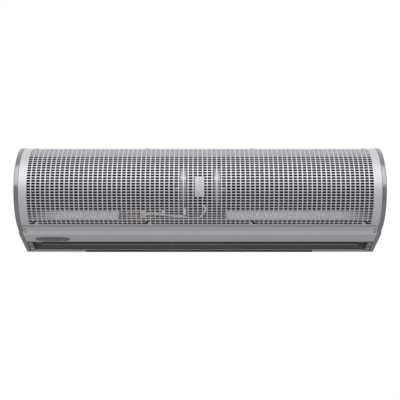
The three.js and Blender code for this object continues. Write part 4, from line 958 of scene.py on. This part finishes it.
def scroll_line():
    """The flange on the back, a round nose and the spiral, whose radius grows by equal shares."""
    share = np.linspace(0, 1, 41)
    radius = SPIRAL_RADII[0] * (SPIRAL_RADII[1] / SPIRAL_RADII[0]) ** share
    turn = np.radians(SPIRAL_ANGLES[0] + (SPIRAL_ANGLES[1] - SPIRAL_ANGLES[0]) * share)
    spiral = np.stack([AXIS[0] + radius * np.cos(turn), AXIS[1] + radius * np.sin(turn)], axis=1)
    nose_turn = np.linspace(math.pi / 2, 3 * math.pi / 2, 9)[:-1]
    nose = spiral[0] + (0, SCROLL_NOSE_RADIUS)
    nose = nose + SCROLL_NOSE_RADIUS * np.stack([np.cos(nose_turn), np.sin(nose_turn)], axis=1)
    foot = bezier(spiral[-1], SCROLL_BEND, SCROLL_FOOT, 14)[1:]
    return np.concatenate([SCROLL_FLANGE, nose, spiral, foot])


def zinc_painted_shade():
    """Dull zinc with painted shade: dark round the wheels, and lighter down in the outlet where light
    falls.
    """
    coat = Finish("zinc_painted_shade")
    stain = coat.noise(14, detail=4)
    shade_mask = coat.parts(coat.place())[2].step(*(end * MM for end in SHADE_HEIGHTS))
    dark, lit = (coat.mix(stain, *tones(colour, 1 - spread, 1 + spread))
                   for colour, spread in ((INNER_SHADE_COLOUR, 0.2), (OUTLET_LIT_COLOUR, 0.15)))
    coat.surface(coat.mix(shade_mask, lit, dark), stain * 0.2 + 0.4, 0.7)


zinc_painted_shade()
for name, line in {"scroll": scroll_line(), "tongue": bezier(*TONGUE, 24)}.items():
    add_piece(f"{name}_sheet", lofted(walled(line, GUIDE_SHEET), (-GUIDE_END, GUIDE_END)), "galvanised",
              nodes=[f"{name}_plate"], finish="zinc_painted_shade")

# Trays
# Pale sheet-metal covers slope from the tongue down to the fascia's flange, left and right of a
# level shelf for the wiring.
BAY = (-200, 66)
TRAY_SHEET = 1.2
TRAY_GAP = 0.3
COVER_END = 434
COVER_LINE = ((-143.68, -38.38), (-147.9, -25.3), (-178.9, -43.3), (-175.42, -46.84))
# The covers are painted dark between these distances from the middle, as shade at the ends.
COVER_SHADE_SPAN = (335, 425)
COVER_TONES = ((0.93, 0.93, 0.955), (0.97, 0.97, 0.995))
COVER_SHADE_COLOUR = (0.09, 0.085, 0.09)
SHELF_LINE = ((-133.83, -56.02), (-139.44, -46.84), (-175.42, -46.84), (-180.26, -41.82))
SHELF_TOP = -46.24
SHELF_COLOUR = (0.055, 0.052, 0.056)


def pale_zinc():
    """Fresh zinc coat on the covers: pale, with a faint crystal pattern, and painted shade at the ends.
    """
    coat = Finish("pale_zinc")
    crystal = coat.cells(4)
    shade_mask = abs(coat.parts(coat.place())[0]).step(*(end * MM for end in COVER_SHADE_SPAN))
    colour = coat.mix(shade_mask, coat.mix(crystal, *COVER_TONES), COVER_SHADE_COLOUR)
    coat.surface(colour, crystal * 0.08 + 0.4)


mottled("dark_steel", 22, tones(SHELF_COLOUR, 1, 2), (0.4, 0.2), 0.3, relief=0.03, skin=0.6)
pale_zinc()
cover_ends = {"left": (-COVER_END, BAY[0] - TRAY_GAP), "right": (BAY[1] + TRAY_GAP, COVER_END)}
for name, ends in cover_ends.items():
    add_piece(f"{name}_ledge", bent_sheet(COVER_LINE, TRAY_SHEET, ends, ease=1.5), "galvanised",
              nodes=[f"{name}_tray_cover"], finish="pale_zinc")
add_piece("wiring_tray", bent_sheet(SHELF_LINE, TRAY_SHEET, BAY, ease=1.5), "dark_steel",
          nodes=["wiring_shelf"])

# Motor
# The stator is in a black enamelled tube between two cast end shields. Each shield rests in a
# rubber ring on a steel bracket, and a plain white label is stuck on the front of the tube.
TUBE_RADIUS = 50
TUBE_PROFILE = ((49.5, -33.7), (50, -33.2), (50, -31), (49.5, -30), (49.5, 30), (50, 31), (50, 33.2),
                (49.5, 33.7), (48.4, 33.7), (48.4, -33.7))
SHIELD_PROFILE = ((50.3, 35), (51.6, 35), (52.3, 35.7), (52.3, 47.8), (51.9, 48.6), (51, 49), (46.5, 49),
                  (38, 49), (36.5, 48), (26, 48), (24.5, 49), (18, 49), (18, 55.2), (17.2, 56), (6, 56),
                  (6, 47), (50.3, 47))
# Below these heights the shields are painted dark as shade.
SHIELD_LIT_HEIGHTS = (47, 57)
SHIELD_TONES = ((0.90, 0.90, 0.92), (0.98, 0.98, 1.0))
SHIELD_SHADE_COLOUR = (0.30, 0.30, 0.31)
RUBBER_RING_PROFILE = ((18.3, 50), (23.4, 50), (24, 50.6), (24, 55.4), (23.4, 56), (18.3, 56))
LABEL_ENDS = (-13, 10)
LABEL_ANGLES = (36.5, -22.5)
LABEL_LIFTS = (0.6, 0.1)
LABEL_CORNER = 2.0
LABEL_GRID = (25, 9)


def cast_shield():
    """Die-cast aluminium with a fine sandy skin: pale above, and painted shade lower down."""
    coat = Finish("cast_aluminium")
    sand = coat.noise(0.5, detail=3)
    cloud = coat.noise(9, detail=3)
    lit = coat.parts(coat.place())[2].step(*(end * MM for end in SHIELD_LIT_HEIGHTS))
    colour = coat.mix(lit, SHIELD_SHADE_COLOUR, coat.mix(cloud, *SHIELD_TONES))
    coat.surface(colour, sand * 0.15 + 0.3, 0.35, Normal=coat.bump(sand, 0.05))


def turned_pairs(rows, body="casing"):
    """Turned pieces on the wheels' axis at both sides, with their heights away from the middle."""
    for name, side in SIDES.items():
        for label, profile, steps, slot, node in rows:
            surface = along_x(turned(profile, steps), *AXIS, side)
            add_piece(f"{name}_{label}", surface, slot, body=body, nodes=[f"{name}_{node}"])


cast_shield()
mottled("motor_black", 6, ((0.006, 0.006, 0.007), (0.014, 0.014, 0.015)), (0.3, 0.12), 0.1, detail=2,
        relief=0.06)
mottled("label_white", 8, ((0.97, 0.97, 1.0), (0.92, 0.915, 0.94)), (0.45, 0.1))
add_piece("motor_casing", along_x(turned(TUBE_PROFILE, 96), *AXIS), "motor_black", nodes=["motor_tube"])
turned_pairs([
    ("shield_casting", SHIELD_PROFILE, 96, "cast_aluminium", "end_shield"),
    ("motor_rubber", RUBBER_RING_PROFILE, 48, "rubber", "rubber_ring"),
])


def curved_label(radius):
    """A label at that radius: a grid of x and elevation, a little shorter at its rounded corners."""
    v, u = (np.linspace(-1, 1, count) for count in LABEL_GRID)
    half_v = math.radians(LABEL_ANGLES[0] - LABEL_ANGLES[1]) / 2 * TUBE_RADIUS
    past = np.maximum(np.abs(v) * half_v - (half_v - LABEL_CORNER), 0)
    half_x = (LABEL_ENDS[1] - LABEL_ENDS[0]) / 2 - (LABEL_CORNER - np.sqrt(LABEL_CORNER ** 2 - past ** 2))
    x = (LABEL_ENDS[0] + LABEL_ENDS[1]) / 2 + half_x[:, None] * u
    turn = np.radians(np.linspace(*LABEL_ANGLES, len(v)))[:, None]
    return points_at(x, AXIS[0] - radius * np.cos(turn), AXIS[1] + radius * np.sin(turn))


label_sides = [curved_label(TUBE_RADIUS + lift) for lift in LABEL_LIFTS]
label_faces = wrapped(*LABEL_GRID, closed_columns=False)
add_piece("plain_motor_label", closed_wall(*label_sides, [label_faces]), "label_white",
          nodes=["motor_label"])

# Wheels
# Each cross-flow wheel is a long drum of thin curved blades between two discs, with rings between
# them to stiffen the blades, all coated in black. It spins with the shaft.
WHEEL_START = 66
WHEEL_END = 428.2
DISC = 2
BLADES = 36
BLADE_RADII = (47.5, 59.4)
BLADE_SWEEP_ANGLE = 9
BLADE_CAMBER = 1.5
BLADE_SHEET = 0.9
RING_RADII = [(14.3, 60), *[(46.5, 59.9)] * 6, (5.3, 60)]
WHEEL_COLOUR = (0.011, 0.011, 0.012)

mottled("wheel_black", 4, tones(WHEEL_COLOUR, 0.7, 1.6), (0.5, 0.15))


def blade_drum(side):
    """All blades as one array: an arched section turned round the axis and carried along x."""
    share = np.linspace(0, 1, 7)
    radius = BLADE_RADII[0] + (BLADE_RADII[1] - BLADE_RADII[0]) * share
    sweep = np.radians(BLADE_SWEEP_ANGLE) * share + BLADE_CAMBER * np.sin(np.pi * share) / radius
    line = np.stack([radius * np.cos(sweep), radius * np.sin(sweep)], axis=1)
    section = walled(line, BLADE_SHEET)
    turn = (2 * np.pi * np.arange(BLADES) / BLADES)[:, None, None]
    y = section[:, 0] * np.cos(turn) - section[:, 1] * np.sin(turn) + AXIS[0]
    z = section[:, 0] * np.sin(turn) + section[:, 1] * np.cos(turn) + AXIS[1]
    x = side * np.array([[WHEEL_START + DISC / 2], [WHEEL_END - DISC / 2]])
    count = len(section)
    start = (np.arange(BLADES) * 2 * count)[:, None, None]
    quads = (wrapped(2, count)[None] + start).reshape(-1, 4)
    ends = (np.stack([np.arange(count)[::-1], np.arange(count) + count])[None] + start).reshape(-1, count)
    return points_at(x, y, z), [quads, ends]


def wheel(side):
    """The blades, with the inner disc, the rings and the outer disc at even steps along them."""
    surfaces = [outwards(blade_drum(side))]
    starts = np.linspace(WHEEL_START, WHEEL_END - DISC, len(RING_RADII))
    for (bore, rim), start in zip(RING_RADII, starts):
        profile = [(bore, start), (rim, start), (rim, start + DISC), (bore, start + DISC)]
        surfaces.append(outwards(along_x(turned(profile, 72), *AXIS, side)))
    return merged(surfaces)


add_pair("drum", wheel, "wheel_black", "wheel", "rotor")

# Hubs and shafts
# A turned hub ties each wheel's inner disc to the motor shaft, and a stub shaft carries its outer
# disc. Both shafts are ground steel with small chamfers.
SHAFT_PROFILE = ((0, -70), (4.4, -70), (5, -69.4), (5, 69.4), (4.4, 70), (0, 70))
STUB_PROFILE = ((0, 423.2), (4.4, 423.2), (5, 423.8), (5, 440.8), (4.4, 441.4), (0, 441.4))
HUB_PROFILE = ((5.3, 62.3), (17.4, 62.3), (18, 62.9), (18, 65.7), (14, 65.7), (14, 72.3), (13.3, 73),
               (5.3, 73))

add_piece("ground_motor_shaft", along_x(turned(SHAFT_PROFILE, 32), *AXIS), "bright_steel",
          body="rotor", nodes=["motor_shaft"])
turned_pairs([
    ("turned_hub", HUB_PROFILE, 48, "dark_steel", "wheel_hub"),
    ("ground_stub", STUB_PROFILE, 32, "bright_steel", "stub_shaft"),
], body="rotor")

# Outer bearings
# Each stub shaft runs in a bush of oily sintered bronze with fine pores. A rubber ring holds the
# bush and clips into the side plate.
HOLDER_PROFILE = ((12, 434.5), (23.2, 434.5), (24, 435.3), (24, 436.9), (19.7, 436.9), (19.7, 439),
                  (24, 439), (24, 440.6), (23.2, 441.4), (12, 441.4))
BUSH_PROFILE = ((5.4, 435.1), (6, 434.5), (11.2, 434.5), (11.7, 435), (11.7, 440.9), (11.2, 441.4),
                (6, 441.4), (5.4, 440.8))

mottled("bronze", 0.35, ((0.20, 0.13, 0.05), (0.36, 0.24, 0.09)), (0.3, 0.2), 0.9, detail=2, relief=0.03)
turned_pairs([
    ("rubber_mount", HOLDER_PROFILE, 48, "rubber", "bearing_holder"),
    ("bronze_bush", BUSH_PROFILE, 48, "bronze", "bearing_bush"),
])

# Guide vane
# A drawn aluminium blade with an oval section. A moulded block on each end holds a round pin that
# turns in the side plate, so the blade tilts by hand.
VANE_PIVOT = (-77.5, -96)
VANE_CHORD = 37
VANE_THICKNESS = 4
VANE_FULLNESS = 0.8
VANE_HALF = 402.7
VANE_COLOUR = (0.2, 0.196, 0.212)
BLOCK_SECTION = ((4.5, -10), (4.5, 10), (-4.5, 10), (-4.5, -10))
BLOCK_EASE = 2.5
BLOCK_PROFILE = ((403, 0.86), (403.4, 0.95), (404.2, 1), (420.8, 1), (421.6, 0.95), (422, 0.86))
PIN_PROFILE = ((0, 409), (3, 409), (3, 441.4), (2.4, 442), (0, 442))

mottled("vane_grey", 0.4, tones(VANE_COLOUR, 0.85, 1.2), (0.28, 0.12), 0.7, stretch=(300, 1, 1))


def vane_frame(section):
    """A section of points across the blade and along its chord, tilted with the outlet."""
    return np.stack(outlet_place(*section.T, VANE_PIVOT), axis=1)


def vane_blade():
    """An oval section: a cosine, raised to a power below one, across it and a sine along its chord."""
    angle = np.linspace(0, 2 * np.pi, 48, endpoint=False)
    across = VANE_THICKNESS / 2 * np.sign(np.cos(angle)) * np.abs(np.cos(angle)) ** VANE_FULLNESS
    chord = VANE_CHORD / 2 * np.sin(angle)
    return lofted(vane_frame(np.stack([across, chord], axis=1)), (-VANE_HALF, VANE_HALF))


def vane_end(side):
    """A block with rounded edges, from a rounded oblong section that shrinks at its ends, and a pin."""
    section = eased(np.array(BLOCK_SECTION, float), BLOCK_EASE, steps=5)
    stations, shares = np.array(BLOCK_PROFILE).T
    block = outwards(lofted([vane_frame(section * share) for share in shares], side * stations))
    pin = outwards(along_x(turned(PIN_PROFILE, 32), *VANE_PIVOT, side))
    return merged([block, pin])


add_piece("vane_blade", vane_blade(), "vane_grey", body="vane", nodes=["guide_vane"])
add_pair("vane_block", vane_end, "vane_grey", "vane_end", "vane")

# Wiring
# A cream terminal block, a capacitor in a steel strap and a few wires stand on the shelf left of
# the motor. The wires are held at both ends, so they follow their routes closely.
CAPACITOR_AXIS = (-161, -32.64)
CAPACITOR_PROFILE = ((0, -108), (11, -108), (12, -107), (12, -61), (11, -60), (0, -60))
SPLICE_AXIS = (-168, -41.94)
SPLICE_PROFILE = ((0, -129), (3.2, -129), (4, -127), (3.6, -119), (2.8, -115), (0, -115))
WIRE_RADIUS = 1.8
MOTOR_LEAD_RADIUS = 2.5
WIRE_COLOURS = {
    "wire_brown": (0.45, 0.31, 0.26), "wire_red": (0.24, 0.105, 0.095), "wire_white": (0.86, 0.86, 0.89),
    "cream_plastic": (0.80, 0.70, 0.50),
}
BROWN_ROUTE = (
    (-147.3, -59, 20.3), (-158, -60, 21), (-172, -61, 20.5), (-182, -61, 18), (-185.5, -60.5, 14.2),
    (-181, -61, 9.8), (-170, -61.5, 8.7), (-158, -60, 8.5), (-153, -55, 6), (-150, -45, 3),
    (-140, -40.8, 2.7), (-124, -42, 3.8), (-116, -48, 8.3), (-112.5, -51.6, 12.9), (-108.5, -51.6, 12.9),
)
RED_ROUTE = (
    (-147.4, -55, 14.5), (-156, -56, 14.9), (-168, -56, 14.9), (-176, -53, 14.2), (-177.5, -48, 12.6),
    (-170, -43, 10.3), (-159, -42, 9.2), (-150, -41.4, 8.8),
    (-138, -41.6, 11.3), (-124, -43.6, 18.3), (-106, -44.8, 25.3), (-84, -45, 25.9), (-62, -45, 25.9),
    (-44, -44.6, 26.3), (-28, -41.6, 28.9), (-21, -37.6, 33.5), (-20, -34, 37.8),
)
MOTOR_LEAD_ROUTE = (
    (-134.7, -56, 13.3), (-128, -57, 14), (-119, -63, 15.5), (-110, -70, 15), (-97, -71.5, 13),
    (-80, -71.5, 11.5), (-62, -71, 10), (-48, -68, 8.5), (-34, -62, 6), (-20, -57, 4),
    (-8, -54.5, 3.1), (-2, -54, 4), (4, -53.5, 10.5), (9.5, -52, 17.5), (13, -49, 23), (13, -45, 27.5),
    (11, -40.6, 31), (10, -35.6, 35.7),
)


for name, colour in WIRE_COLOURS.items():
    mottled(name, 3, tones(colour, 0.85, 1.12), (0.4, 0.1), detail=2)


def wire(name, route, radius, slot, node):
    """A round wire along a smooth curve through its route, measured from the axis and the shelf."""
    curve = bpy.data.curves.new(name, "CURVE")
    curve.dimensions = "3D"
    curve.bevel_depth = radius * MM
    curve.bevel_resolution = 4
    curve.resolution_u = 8
    curve.use_fill_caps = True
    points = curve.splines.new("BEZIER").bezier_points
    points.add(len(route) - 1)
    for point, (x, y, z) in zip(points, route):
        point.co = (x * MM, (AXIS[0] + y) * MM, (SHELF_TOP + z) * MM)
        point.handle_left_type = point.handle_right_type = "AUTO"
    curve.materials.append(finishes[slot])
    placed(name, curve, "casing", [node])


wire("brown_lead", BROWN_ROUTE, WIRE_RADIUS, "wire_brown", "brown_wire")
wire("red_lead", RED_ROUTE, WIRE_RADIUS, "wire_red", "red_wire")
wire("white_motor_lead", MOTOR_LEAD_ROUTE, MOTOR_LEAD_RADIUS, "wire_white", "motor_lead")
add_piece("capacitor_can", along_x(turned(CAPACITOR_PROFILE, 48), *CAPACITOR_AXIS), "motor_black",
          nodes=["capacitor"])
add_piece("splice_sleeve", along_x(turned(SPLICE_PROFILE, 24), *SPLICE_AXIS), "wire_white",
          nodes=["splice_cap"])

# Lead tie
# A white nylon tie hooks round the red lead in front of the motor, and its tail hangs down over the
# shelf. It is a moulded strip, bent by hand.
TIE_LINE = ((-149.5, -23.6), (-148.2, -20.5), (-149.8, -17.8), (-158.6, -16.6), (-163.0, -19.6),
            (-169.5, -34.6))
TIE_SHEET = 1.2
TIE_ENDS = (-41.7, -35.7)

add_piece("lead_tie", bent_sheet(TIE_LINE, TIE_SHEET, TIE_ENDS, ease=1.2), "wire_white",
          finish="label_white")

# Other nodes
# The wall plate, the motor brackets, the two cores, the capacitor's strap and the terminal block
# keep their own shape and get the finish of their slot, except that the motor brackets get the zinc
# with painted shade. The cores are varnished steel sheets.
CORE_TONES = ((0.10, 0.10, 0.11), (0.22, 0.22, 0.235))
CORE_PITCH = 1.0


def varnished_core():
    """Sheets on edge: a wave along x makes lines across the core."""
    coat = Finish("lamination")
    lines = coat.parts(coat.place())[0].wave(CORE_PITCH * MM)
    colour = coat.mix(lines, *CORE_TONES)
    coat.surface(colour, lines * 0.2 + 0.35, 0.7, Normal=coat.bump(lines, 0.08))


varnished_core()
slots = {part["node"]: part["material_slot"] for part in frame["record"]["subparts"]}
slots.update({f"{name}_motor_bracket": "zinc_painted_shade" for name in SIDES})
for node, carried in frame["nodes"].items():
    if not carried.hide_render:
        carried.data.materials.clear()
        carried.data.materials.append(finishes[slots[node]])
